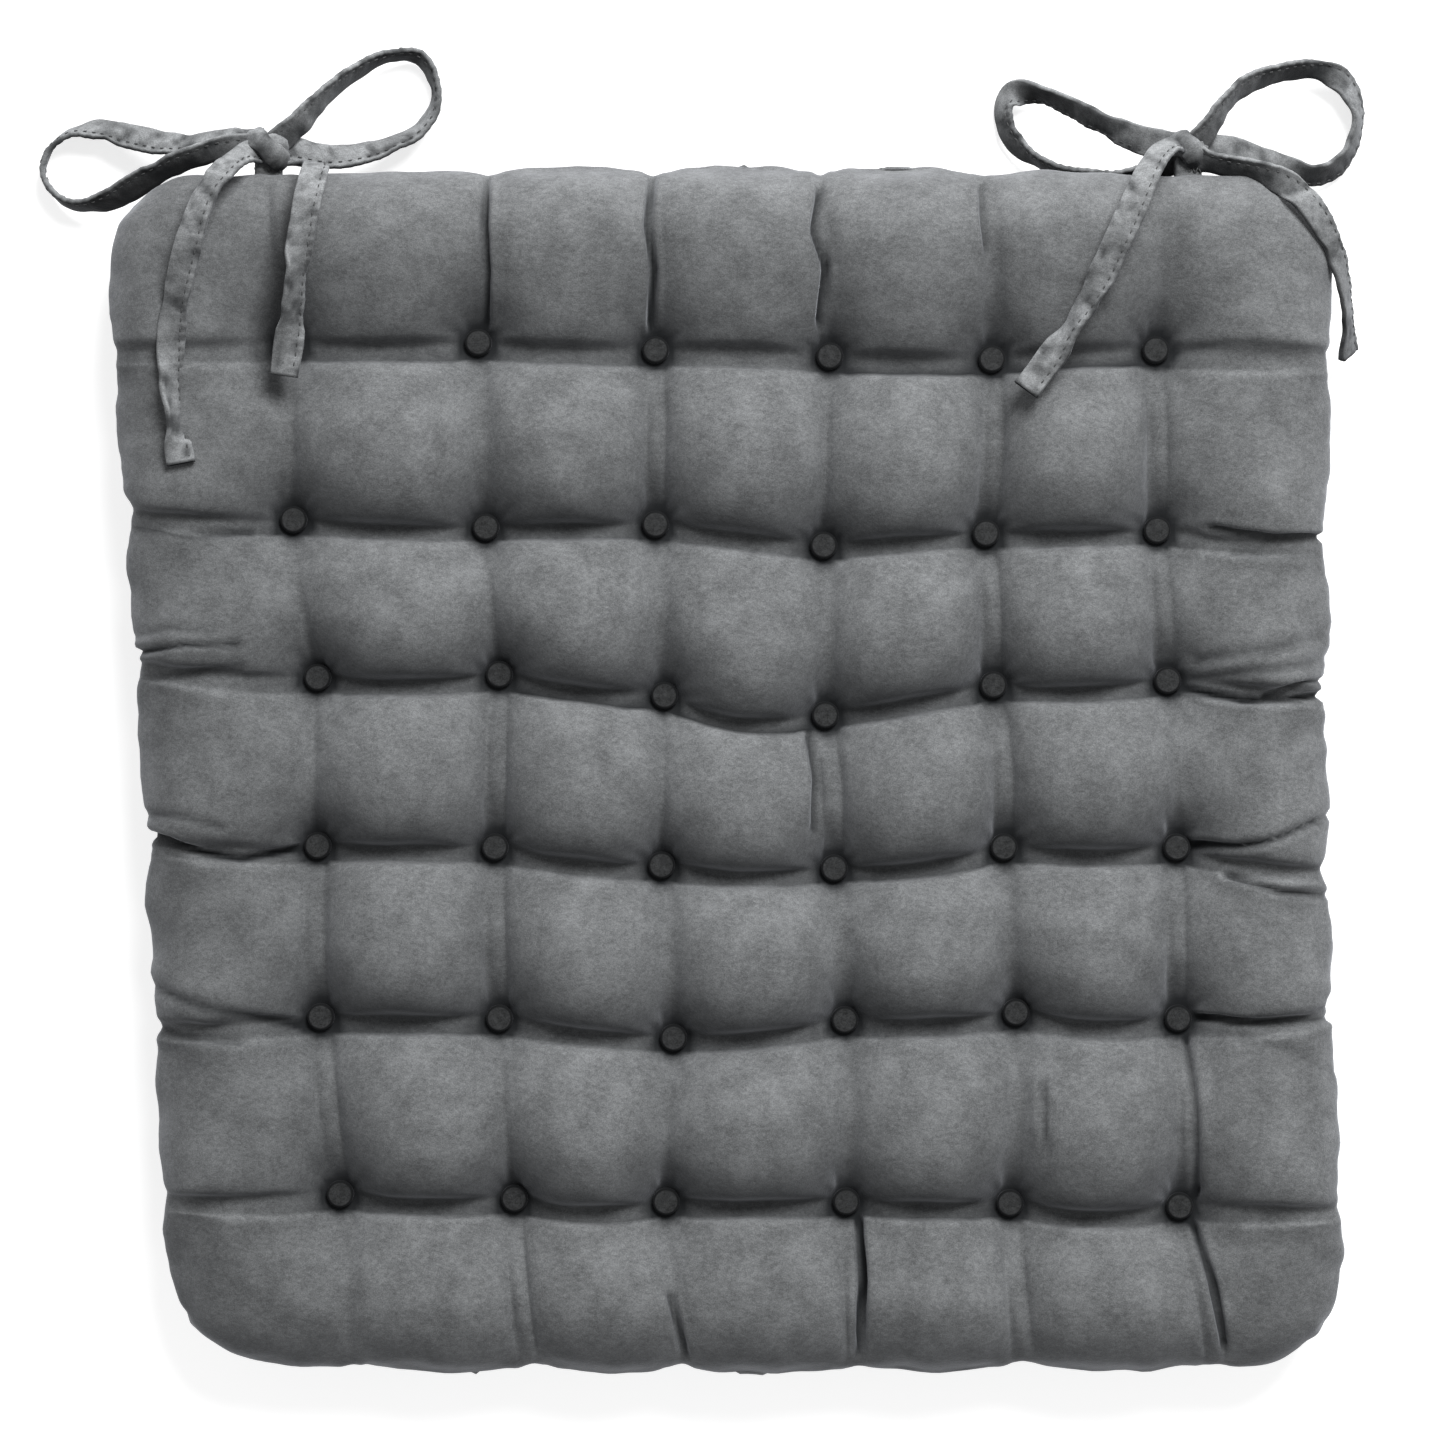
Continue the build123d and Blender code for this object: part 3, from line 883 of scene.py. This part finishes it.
# How strongly each channel shows in painted shade: a painted black line at its sharp edge, and the width of
# its painted dark floor, which also sets how high the cloth stays at the back of a cell.
PAINTED_EDGE_LINES = {(c, r): rng.choice((0.05, 0.2, 0.4)) for c in range(CELLS) for r in range(CELLS + 1)}
BANDS = {(c, r): rng.uniform(0.55, 1.0) for c in range(CELLS) for r in range(CELLS + 1)}
for place in ((3, 4), (2, 4), (4, 6), (5, 6)):
    PAINTED_EDGE_LINES[place] = 0.85
PLEAT_WIDTHS = {(c, r): rng.choice((0.0, 0.02, 0.058)) for c in range(CELLS + 1) for r in range(CELLS)}
PUCKER = 1.6 * MM  # unevenness of the rolled edge along the seam
SEAM_GROOVE = 1.5 * MM  # how deep the seam lies between the two panels' rolls
PLEATS = {(c, r): rng.uniform(0.5, 1.5) * MM for c in range(CELLS + 1) for r in range(CELLS)}
FLOOR_GAP = 0.3 * MM
CROWNS = {(c, r): rng.uniform(-1.2, 0.8) * MM for c in range(CELLS) for r in range(CELLS)}


def arch(share, line_low, line_high, power):
    """0 on a sewn channel, 1 on the plumpest line between two, or out at the edge."""
    if not line_low:
        share = (1 + share) / 2
    if not line_high:
        share = share / 2
    return max(0.0, math.sin(math.pi * share)) ** power


def across_arch(column, row, u):
    """The arch of a cell from side to side, with a flat floor between the two edges of each pleat."""
    low = PLEAT_WIDTHS[(column, row)] if column > 0 else 0.0
    high = PLEAT_WIDTHS[(column + 1, row)] if column < CELLS - 1 else 0.0
    share = min(1.0, max(0.0, (u - low) / (1 - low - high)))
    return arch(share, column > 0, column < CELLS - 1, 0.72)


def along_arch(column, row, v):
    """The arch of a cell from front to back, dropping sharply to the channel behind it."""
    low, high = row > 0, row < CELLS - 1
    if not high:
        return arch(leaning(v), low, high, 0.55 + 0.45 * v)
    if v > FOLD_EDGE:
        return 0.0
    share = leaning(v / FOLD_EDGE)
    height = arch(share, low, high, 0.55 + 0.45 * v)
    if share > 0.5 or not low:
        step = (0.27 if 0 < column < CELLS - 1 else 0.1) * BANDS[(column, row + 1)]
        height = step + (1 - step) * height
    return height


def swelling(column, row, u, v, rises):
    """Height over the buttons' seats at a place in a cell."""
    row_rise, column_rise, edge_rise, side_rise, crown = rises
    low, high = row > 0, row < CELLS - 1
    left, right = column > 0, column < CELLS - 1
    u_line = arch(u, left, right, 0.85)
    v_line = arch(v, low, high, 0.85)
    across = side_rise if not (left and right) else row_rise
    along = edge_rise if not (low and high) else column_rise
    behind = min(1.0, v / FOLD_EDGE) if high else v
    channels = across * u_line * (low * (1 - v) ** 3 + high * behind**3)
    channels += along * v_line * (left * (1 - u) ** 3 + right * u**3)
    middle = crown - (across * (0.25 if low and high else 0.125))
    middle -= along * (0.25 if left and right else 0.125)
    return channels + middle * across_arch(column, row, u) * along_arch(column, row, v)


def leaning(share):
    """A tuft stands fullest towards its front, and slopes away more gently behind."""
    return share**0.74


def shade(cell, u, v, radius):
    """How much painted shade a place gets, from 0 to 1: darker in the channels and along their sharp edges,
    round the buttons and on the left border column.
    """
    column, row = cell
    size = 57.0
    low, high = row > 0, row < CELLS - 1
    left, right = column > 0, column < CELLS - 1
    fade_u = 1.0 if left and right else (u if right else 1 - u) ** 1.7
    fade_v = 1.0 if low and high else (v if high else 1 - v) ** (0.8 if high else 0.4)
    deep = 0.0
    if low:
        deep += fade_u * (0.27 + 0.27 * BANDS[(column, row)]) * math.exp(-((v * size / 8) ** 1.4))
    if high and v > FOLD_EDGE:
        past = (v - FOLD_EDGE) * size
        line = PAINTED_EDGE_LINES[(column, row + 1)] * math.exp(-((past / 2.4) ** 2))
        deep += fade_u * (0.65 + 0.4 * BANDS[(column, row + 1)] + line)
    for side, gap in ((0, u), (1, 1 - u)):
        if (left, right)[side]:
            width = PLEAT_WIDTHS[(column + side, row)]
            floor = 0.5 if gap < width + 0.002 else 0.42 * math.exp(-(((gap - width) * size / 3.2) ** 2))
            edge = 0.35 * math.exp(-(((gap - width) * size / 0.9) ** 2)) if side == 0 else 0.0
            near_button = 0.45 + 0.55 * abs(2 * v - 1) ** 1.5
            if not high:  # the back row's channels keep their painted shade nearly to the edge
                near_button = 1.5 * (1 - v) ** 0.3
            deep += fade_v * (floor * near_button + edge * (width > 0.04))
    away = radius / MM
    # Painted shade round each button, and on the left border column, which leans away from the light.
    painted_soft_shade = 0.27 * math.exp(-((away / 12) ** 2)) + (0.0 if left else 0.17 * (1 - u) ** 0.4)
    ring = 1.05 * math.exp(-((away / 6.9) ** 6))
    return min(0.98, 0.47 * deep + painted_soft_shade + ring)


def dimple(radius):
    """0 under a button, rising round it to 1 where its pull is no longer felt."""
    if radius <= BUTTON_SEAT:
        return 0.0
    return 1 - math.exp(-(((radius - BUTTON_SEAT) / DIMPLE_REACH) ** 1.3))


def pleat(column, share, along):
    """The small ridge that stands in the middle of a channel, between its two fold edges."""
    low, high = column > 0, column < CELLS - 1
    gap = min(share if low else 1, (1 - share) if high else 1) * 58 * MM
    return math.exp(-((gap / (2.4 * MM)) ** 2)) * math.sin(math.pi * along)


def mesh_line(cell, step, along):
    """The share of a cell at which one of its mesh lines lies."""
    if cell == CELLS - 1:
        return 1 - LINES_RIM[STEPS - step]
    if cell == 0 and not along:
        return LINES_RIM[step]
    return LINES_V[step] if along else LINES_U[step]


def pad_grid():
    """Plan points of the whole grid, with each one's cell and place in it."""
    grid = {}
    for i in range(SIDE + 1):
        column = min(i // STEPS, CELLS - 1)
        u = mesh_line(column, i - column * STEPS, False)
        for j in range(SIDE + 1):
            row = min(j // STEPS, CELLS - 1)
            v = mesh_line(row, j - row * STEPS, True)
            grid[(i, j)] = (cell_point(column, row, u, v), column, row, u, v)
    return grid


def edge_gap(point):
    """How far a plan point lies in from the outline, and the way out to it."""
    count = len(OUTLINE)
    near = min(range(0, count, 6), key=lambda k: (point - OUTLINE[k]).length_squared)
    best = None
    for k in range(near - 5, near + 5):
        start, end = OUTLINE[k % count], OUTLINE[(k + 1) % count]
        run = end - start
        share = min(1.0, max(0.0, (point - start).dot(run) / max(run.length_squared, 1e-12)))
        away = start + run * share - point
        if best is None or away.length < best[0]:
            best = (away.length, away, Vector((run.y, -run.x)).normalized())
    return max(0.0, best[1].dot(best[2])), best[2]


def nearest_button(point):
    return min(((m - point).length for middles in TUFTS for m in middles), default=1.0)


def build_pad():
    """The closed start shape: vertices, faces of the top and of the underside, button vertices."""
    vertices, top, under, held = [], {}, {}, []
    folds = {}
    top_rises = (ROW_RISE, COLUMN_RISE, EDGE_RISE, SIDE_RISE, CROWN - TOP_SEAT)
    under_rises = (UNDER_CHANNEL, UNDER_CHANNEL, 8 * MM, 8 * MM, UNDER_SEAT + 2.5 * MM)
    for (i, j), (point, column, row, u, v) in pad_grid().items():
        rim = i in (0, SIDE) or j in (0, SIDE)
        gap, way_out = edge_gap(point)
        button_gap = nearest_button(point)
        pull = dimple(button_gap)
        if rim:
            point = point - point.normalized() * SEAM_GROOVE
            gap = 0.0
        else:
            point = point + way_out * SEAM_GROOVE * math.exp(-gap / (4 * MM))
            turn = math.atan2(point.y, point.x)
            pucker = noise.noise(Vector((turn * 24, 0.5, 0))) + 0.6 * noise.noise(Vector((turn * 61, 9, 0)))
            point = point + way_out * PUCKER * pucker * math.exp(-gap / (11 * MM))
        roll = math.sqrt(1 - (1 - min(gap / ROLL, 1)) ** 2)
        rise = swelling(column, row, u, v, top_rises)
        rise += CROWNS[(column, row)] * math.sin(math.pi * u) * math.sin(math.pi * v)
        nearest = column if u < 0.5 else column + 1
        rise += PLEATS[(nearest, row)] * pleat(column, u, v)
        high = TOP_SEAT + rise * pull
        top[(i, j)] = len(vertices)
        # The painted shade of each point, kept as the top's fold attribute.
        folds[len(vertices)] = shade((column, row), u, v, button_gap)
        vertices.append(Vector((*point, SEAM_Z + (high - SEAM_Z) * roll)))
        if rim:
            under[(i, j)] = top[(i, j)]
            continue
        low = max(FLOOR_GAP, UNDER_SEAT - swelling(column, row, u, v, under_rises) * pull)
        under[(i, j)] = len(vertices)
        vertices.append(Vector((*point, SEAM_Z - (SEAM_Z - low) * roll)))
    for sheet, seat in ((top, TOP_SEAT), (under, UNDER_SEAT)):
        for middles in TUFTS:
            for middle in middles:
                for index in sheet.values():
                    if (vertices[index].xy - middle).length < BUTTON_SEAT:
                        vertices[index].z = seat
                        held.append(index)
    upper, lower = [], []
    for i in range(SIDE):
        for j in range(SIDE):
            corners = [(i, j), (i + 1, j), (i + 1, j + 1), (i, j + 1)]
            upper.append([top[corner] for corner in corners])
            lower.append([under[corner] for corner in reversed(corners)])
    return vertices, upper, lower, held, top, under, folds


# ---- pad: the cloth settles -----------------------------------------------------------------

CLOTH_SCALE = 10.0  # the solver weighs each point alike, and works best at about this size
EASE = 1.04  # how much longer the cloth is cut than the shape it is sewn down to
CLOTH_FRAMES = 14
MOST_MOVE = 4.0 * MM
RIM_HOLD = 0.97
UNDER_HOLD = 0.6
PLUMP_HOLD = 0.03
CHANNEL_HOLD = (0.55, 0.3, 0.12, 0.05)  # by mesh lines away from a channel
CHANNEL_SHARES = (0.2, 0.3, 0.45, 0.65, 0.85)  # by mesh lines away from a channel
BEHIND_LINES = 3  # the mesh lines just behind a channel, which share one value
BEHIND_SHARE = 0.25
CLOTH_SETTINGS = {
    "quality": 5, "mass": 0.1, "tension_stiffness": 15, "compression_stiffness": 15,
    "shear_stiffness": 7.5, "bending_stiffness": 0.25, "tension_damping": 5,
    "compression_damping": 5, "shear_damping": 5, "vertex_group_mass": "held",
    "pin_stiffness": 1.0, "use_pressure": True, "uniform_pressure_force": 7,
}


def holding_weights(count, held, top, under):
    """How firmly each point keeps its place: buttons fast, channels partly, plump cloth hardly."""
    weights = [PLUMP_HOLD] * count
    for (i, j), index in top.items():
        column, row = i % STEPS, j % STEPS
        near = min(column, STEPS - column, row, STEPS - row)
        rim = i in (0, SIDE) or j in (0, SIDE)
        firm = PLUMP_HOLD
        if rim:
            firm = RIM_HOLD
        elif near < len(CHANNEL_HOLD):
            firm = CHANNEL_HOLD[near]
        weights[index] = max(weights[index], firm)
        if not rim:
            weights[under[(i, j)]] = UNDER_HOLD
    for index in held:
        weights[index] = 1.0
    return weights


def freedom(top, under, count):
    """The share of the cloth's own movement that each point keeps, least in the channels."""
    shares = [1.0] * count
    for sheet in (top, under):
        for (i, j), index in sheet.items():
            column, row = i % STEPS, j % STEPS
            near = min(column, STEPS - column, row)
            share = CHANNEL_SHARES[near] if near < len(CHANNEL_SHARES) else 1.0
            if STEPS - row <= BEHIND_LINES:
                share = BEHIND_SHARE
            shares[index] = share
    return shares


def settle(vertices, faces, weights, shares):
    """Blows the sewn panels up against their stitches, and returns where every point comes to."""
    piece = mesh_piece("pad_cloth", [vertex * CLOTH_SCALE for vertex in vertices], faces)
    group = piece.vertex_groups.new(name="held")
    for index, weight in enumerate(weights):
        group.add([index], weight, "REPLACE")
    piece.shape_key_add(name="sewn")
    cut = piece.shape_key_add(name="cut")
    middle = Vector((0, 0, SEAM_Z * CLOTH_SCALE))
    for place, vertex in zip(cut.data, vertices):
        place.co = middle + (vertex * CLOTH_SCALE - middle) * EASE
    cloth = piece.modifiers.new("cloth", "CLOTH")
    settings = cloth.settings
    for name, value in CLOTH_SETTINGS.items():
        setattr(settings, name, value)
    settings.rest_shape_key = cut
    settings.effector_weights.gravity = 0
    cloth.collision_settings.use_collision = False
    cloth.point_cache.frame_start = 1
    cloth.point_cache.frame_end = CLOTH_FRAMES
    for moment in range(1, CLOTH_FRAMES + 1):
        bpy.context.scene.frame_set(moment)
    settled = piece.evaluated_get(bpy.context.evaluated_depsgraph_get()).data
    moved = [vertex.co / CLOTH_SCALE for vertex in settled.vertices]
    bpy.context.scene.frame_set(1)
    mesh = piece.data
    bpy.data.objects.remove(piece)
    bpy.data.meshes.remove(mesh)
    result = []
    for start, end, share in zip(vertices, moved, shares):
        step = (end - start) * share
        if step.length > MOST_MOVE:
            step = step.normalized() * MOST_MOVE
        place = start + step
        place.z = max(place.z, FLOOR_GAP)
        result.append(place)
    return result


# Fold lines pressed into the top: points in millimetres, half width and depth.
CREASES = [
    ([(-79.5, 196), (-80, 180), (-79, 165), (-80, 148)], 1.1, 2.2),
    ([(-24.5, 196), (-26, 180), (-24, 165), (-25, 148)], 1.1, 2.2),
    ([(31, 192), (29, 178), (33, 166), (31, 148)], 1.1, 2.4),
    ([(84.5, 193), (85, 182), (86, 172)], 1.0, 1.4),
    ([(27.5, 11), (30, -3), (29.5, -20)], 1.3, 2.0),
    ([(153, -90), (155, -115), (156, -142)], 1.2, 1.8),
    ([(104.5, -104), (105, -118), (106, -126)], 1.1, 1.5),
    ([(160, 80), (169.4, 78), (180, 76.3), (190, 76.5), (202, 77.3)], 1.0, 2.0),
    ([(168, 71.5), (182, 70.5), (196, 71)], 1.2, 0.8),
    ([(152, 27), (160.7, 25), (170.4, 23), (187.7, 23.5), (202, 24.8)], 1.2, 2.6),
    ([(178, 25), (184, 26.3), (191.7, 28.6), (200, 29.6)], 1.0, 1.9),
    ([(157, 36), (169, 38.5), (180, 40), (197, 44.5)], 1.9, 1.1),
    ([(153, 29.8), (170.4, 32), (189.7, 34.3), (202, 38)], 1.6, 1.2),
    ([(154, -25), (168.4, -25.4), (175, -24.2), (182, -22), (190, -18.6), (202, -14.5)], 1.2, 2.6),
    ([(166, -35), (172.4, -36.8), (183, -40.4), (201, -42)], 1.1, 2.2),
    ([(157, -82.5), (175, -83.5), (190, -82.4), (205, -82.8)], 1.1, 2.0),
    ([(170, -89), (184, -91), (203, -101)], 1.5, 0.9),
    ([(150, 139), (165, 140.5), (182, 140), (203, 138)], 1.6, 0.9),
    ([(-198, 38.5), (-188, 39.5), (-178, 41.3), (-160, 41)], 1.0, 2.2),
    ([(-196, 44), (-183, 47), (-168, 46)], 1.3, 1.0),
    ([(-196, 30), (-182, 31), (-160, 34)], 1.6, 0.9),
    ([(-195, 80), (-178, 77), (-158, 78.5)], 1.6, 1.1),
    ([(-194, -21), (-183, -23.5), (-172, -27.5), (-160, -29.5), (-142, -26.5)], 1.2, 2.6),
    ([(-193, -15), (-180, -15), (-166, -19)], 1.4, 1.2),
    ([(-193, -70.5), (-178, -76), (-165, -80), (-139, -85.5)], 1.7, 1.6),
    ([(-194, -84), (-180, -88), (-160, -90)], 1.5, 1.1),
    ([(154.5, -149), (161, -170), (165, -191)], 1.2, 2.0),
    ([(44, -150), (45, -170), (44, -194)], 1.3, 2.8),
    ([(-18.5, -174), (-16, -184), (-13.5, -194)], 1.1, 1.8),
]


def crease_push(point):
    """How far the fold lines press a place of the top in, and raise the cloth beside them."""
    push = 0.0
    for line, width, depth in CREASES:
        reach = width * 4
        xs, ys = [p[0] for p in line], [p[1] for p in line]
        if not (min(xs) - reach < point.x < max(xs) + reach):
            continue
        if not (min(ys) - reach < point.y < max(ys) + reach):
            continue
        nearest = 1e9
        for a, b in zip(line, line[1:]):
            run = (b[0] - a[0], b[1] - a[1])
            size = run[0] ** 2 + run[1] ** 2
            share = ((point.x - a[0]) * run[0] + (point.y - a[1]) * run[1]) / size
            share = max(0.0, min(1.0, share))
            gap = math.hypot(point.x - a[0] - run[0] * share, point.y - a[1] - run[1] * share)
            nearest = min(nearest, gap)
        push += depth * math.exp(-((nearest / width) ** 2))
        push -= depth * 0.3 * math.exp(-(((nearest - 2.3 * width) / width) ** 2))
    return push


def tuft_folds(point, phase):
    """Small folds that fan out from the nearest button."""
    middle = min((m for middles in TUFTS for m in middles), key=lambda m: (point.xy - m).length)
    away = point.xy - middle
    radius = away.length / MM
    if radius < 4.8 or radius > 24:
        return 0.0
    turn = math.atan2(away.y, away.x)
    wander = 1.6 * noise.noise(Vector((middle.x * 37, middle.y * 37, phase)))
    fan = math.cos(11 * turn + 5 * wander) + 0.6 * math.cos(7 * turn - 3 * wander + 1)
    fade = min(1, (radius - 4.8) / 3) * max(0, 1 - radius / 24) ** 1.5
    return 0.42 * fan * fade


def edge_wrinkles(point):
    """Low wrinkles that run in from the rolled edge."""
    side = math.exp(-((min(abs(point.x + 0.2), abs(point.x - 0.204)) / (30 * MM)) ** 2))
    end = math.exp(-(((0.198 - abs(point.y)) / (24 * MM)) ** 2))
    across = noise.noise(Vector((point.x * 16 + 3, point.y * 95, point.z * 30)))
    across += 0.5 * noise.noise(Vector((point.x * 30, point.y * 210, 4)))
    along = noise.noise(Vector((point.x * 85, point.y * 16, point.z * 30 + 7)))
    return 0.75 * side * across + 0.6 * end * along


def detail(piece, top):
    """Fold lines, button folds and the soft unevenness of the fibre under the cloth, with painted shade
    along the fold lines and painted light from how far each point faces the back.
    """
    mesh = piece.data
    pushes = []
    folds = mesh.attributes["fold"].data if top else None
    backlights = mesh.attributes.new("painted_backlight", "FLOAT", "POINT").data
    for vertex in mesh.vertices:
        place = vertex.co
        seat = TOP_SEAT if top else UNDER_SEAT
        lumps = 0.55 * noise.noise(place * 62) + 0.2 * noise.noise(place * 190 + Vector((3, 1, 4)))
        push = -lumps + tuft_folds(place, 2.0 if top else 6.0) - edge_wrinkles(place)
        if top:
            crease = crease_push(place / MM) * min(1.0, 0.35 + edge_gap(place.xy)[0] / (12 * MM))
            push += crease
            # Painted shade: each fold line also darkens the colour along it.
            fold = folds[vertex.index]
            fold.value = min(1.0, fold.value + max(0.0, crease) * 0.33)
        # Painted light: how far each point faces the back.
        backlights[vertex.index].value = vertex.normal.y
        fade = min(1.0, abs(place.z - seat) / (3 * MM))
        pushes.append(vertex.normal * (-push * MM * fade))
    for vertex, push in zip(mesh.vertices, pushes):
        vertex.co += push
        vertex.co.z = min(max(vertex.co.z, FLOOR_GAP), TOP_Z + 2.5 * MM)


CLOTH_WALL = 0.9 * MM


def make_panel(name, node_name, points, faces, material, folds):
    used = sorted({index for face in faces for index in face})
    renumber = {index: place for place, index in enumerate(used)}
    mesh = bpy.data.meshes.new(name)
    mesh.from_pydata([points[index] for index in used], [], [[renumber[i] for i in f] for f in faces])
    mesh.update()
    panel = bpy.data.objects.new(name, mesh)
    bpy.context.scene.collection.objects.link(panel)
    if folds:
        depth = mesh.attributes.new("fold", "FLOAT", "POINT")
        for place, index in enumerate(used):
            depth.data[place].value = folds[index]
    smoother = panel.modifiers.new("smooth", "SUBSURF")
    smoother.levels = smoother.render_levels = 1
    apply_modifiers(panel)
    detail(panel, bool(folds))
    wall = panel.modifiers.new("cloth_thickness", "SOLIDIFY")
    wall.thickness = CLOTH_WALL
    wall.offset = -1
    apply_modifiers(panel)
    finish(panel, material)
    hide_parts(node_name)


FILLING_INSET = 6.0 * MM
FILLING_EDGE = 8.0 * MM  # how far the fibre stays in from the seam
FILLING_RINGS = 3  # mesh rings left out next to the seam


def make_filling(points, top, under):
    """The loft fibre inside, a little smaller than the cover and clear of the seam."""
    lines = range(FILLING_RINGS, SIDE - FILLING_RINGS + 1)
    first, last = lines[0], lines[-1]
    vertices, places = [], {}
    for name, sheet, drop in (("top", top, -FILLING_INSET), ("under", under, FILLING_INSET * 0.7)):
        for i in lines:
            for j in lines:
                places[(name, i, j)] = len(vertices)
                point = points[sheet[(i, j)]] + Vector((0, 0, drop))
                turn = math.degrees(math.atan2(point.y, point.x))
                reach = OUTLINE[round(turn * 2) % OUTLINE_STEPS].length - FILLING_EDGE
                share = min(1.0, reach / max(point.xy.length, MM))
                vertices.append(Vector((point.x * share, point.y * share, point.z)))
    faces = []
    for i in lines[:-1]:
        for j in lines[:-1]:
            corners = ((i, j), (i + 1, j), (i + 1, j + 1), (i, j + 1))
            faces.append([places[("top", *corner)] for corner in corners])
            faces.append([places[("under", *corner)] for corner in reversed(corners)])
    for k in lines[:-1]:
        for a, b in (
            ((k, first), (k + 1, first)), ((k + 1, last), (k, last)),
            ((first, k + 1), (first, k)), ((last, k), (last, k + 1)),
        ):
            ring = (("under", *a), ("under", *b), ("top", *b), ("top", *a))
            faces.append([places[corner] for corner in ring])
    filling = mesh_piece("pad_filling", vertices, faces)
    finish(filling, FIBRE)
    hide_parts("filling")


def rim_points(points, top):
    """The seam, once round from the front left corner."""
    ring = [(i, 0) for i in range(SIDE)] + [(SIDE, j) for j in range(SIDE)]
    ring += [(i, SIDE) for i in range(SIDE, 0, -1)] + [(0, j) for j in range(SIDE, 0, -1)]
    return [points[top[place]] for place in ring]


SEAM_PITCH = 4.1 * MM
SEAM_STITCH = (2.6 * MM, 0.35 * MM)  # length and thickness
SEAM_SINK = 0.25 * MM  # how far the stitches lie in from the seam's line


def make_seam(points, top):
    """Short stitches lying in the groove where the two panels meet."""
    ring = rim_points(points, top)
    line, _, _ = even_steps(ring + ring[:1], SEAM_PITCH)
    vertices, faces = [], []
    for before, here, after in zip(line, line[1:], line[2:]):
        along = (after - before).normalized()
        out = along.cross(Vector((0, 0, 1))).normalized()
        stitch_solid(vertices, faces, here - out * SEAM_SINK, along, out, *SEAM_STITCH)
    seam = mesh_piece("seam_stitches", vertices, faces)
    finish(seam, SEAM_THREAD)
    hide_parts("seam_stitching")


TACK_STITCH = (1.9 * MM, 0.5 * MM)  # length and thickness
TACK_BARS = 2
TACKS_PER_BAR = 9


def make_tacks():
    """Close bars of thread that hold the folded middle of each tie in the seam."""
    vertices, faces = [], []
    for side in ("left", "right"):
        low, high = (Vector(corner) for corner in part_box(f"{side}_tie_root"))
        middle_x = (low.x + high.x) / 2
        base = max(p.y for p in OUTLINE if abs(p.x - middle_x) < 6 * MM)
        for bar in range(TACK_BARS):
            y = base + (1.3 + 2.2 * bar) * MM
            for step in range(TACKS_PER_BAR):
                x = middle_x + (step - TACKS_PER_BAR // 2) * MM
                lean = Vector((0.45 if step % 2 else -0.45, 1, 0)).normalized()
                top = Vector((x, y, SEAM_Z + 1.95 * MM))
                stitch_solid(vertices, faces, top, lean, Vector((0, 0, 1)), *TACK_STITCH)
    tacks = mesh_piece("bar_tacks", vertices, faces)
    finish(tacks, THREAD)
    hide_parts("tie_bar_tacks")


def make_pad():
    vertices, upper, lower, held, top, under, folds = build_pad()
    points = vertices
    count = len(vertices)
    weights = holding_weights(count, held, top, under)
    points = settle(vertices, upper + lower, weights, freedom(top, under, count))
    make_panel("top_panel_cloth", "top_panel", points, upper, SUEDE, folds)
    make_panel("under_panel_cloth", "bottom_panel", points, lower, UNDER_SUEDE, None)
    make_filling(points, top, under)
    make_seam(points, top)


make_pad()
make_tacks()

# ---- the buttons and threads keep their shapes ----------------------------------------------

for node_name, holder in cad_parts.items():
    for part, material in (
        ("button_covers", BUTTON_SUEDE), ("button_cores", CORE_PLASTIC), ("tuft_threads", THREAD),
    ):
        if part in node_name:
            for place in holder.material_slots:
                place.material = material
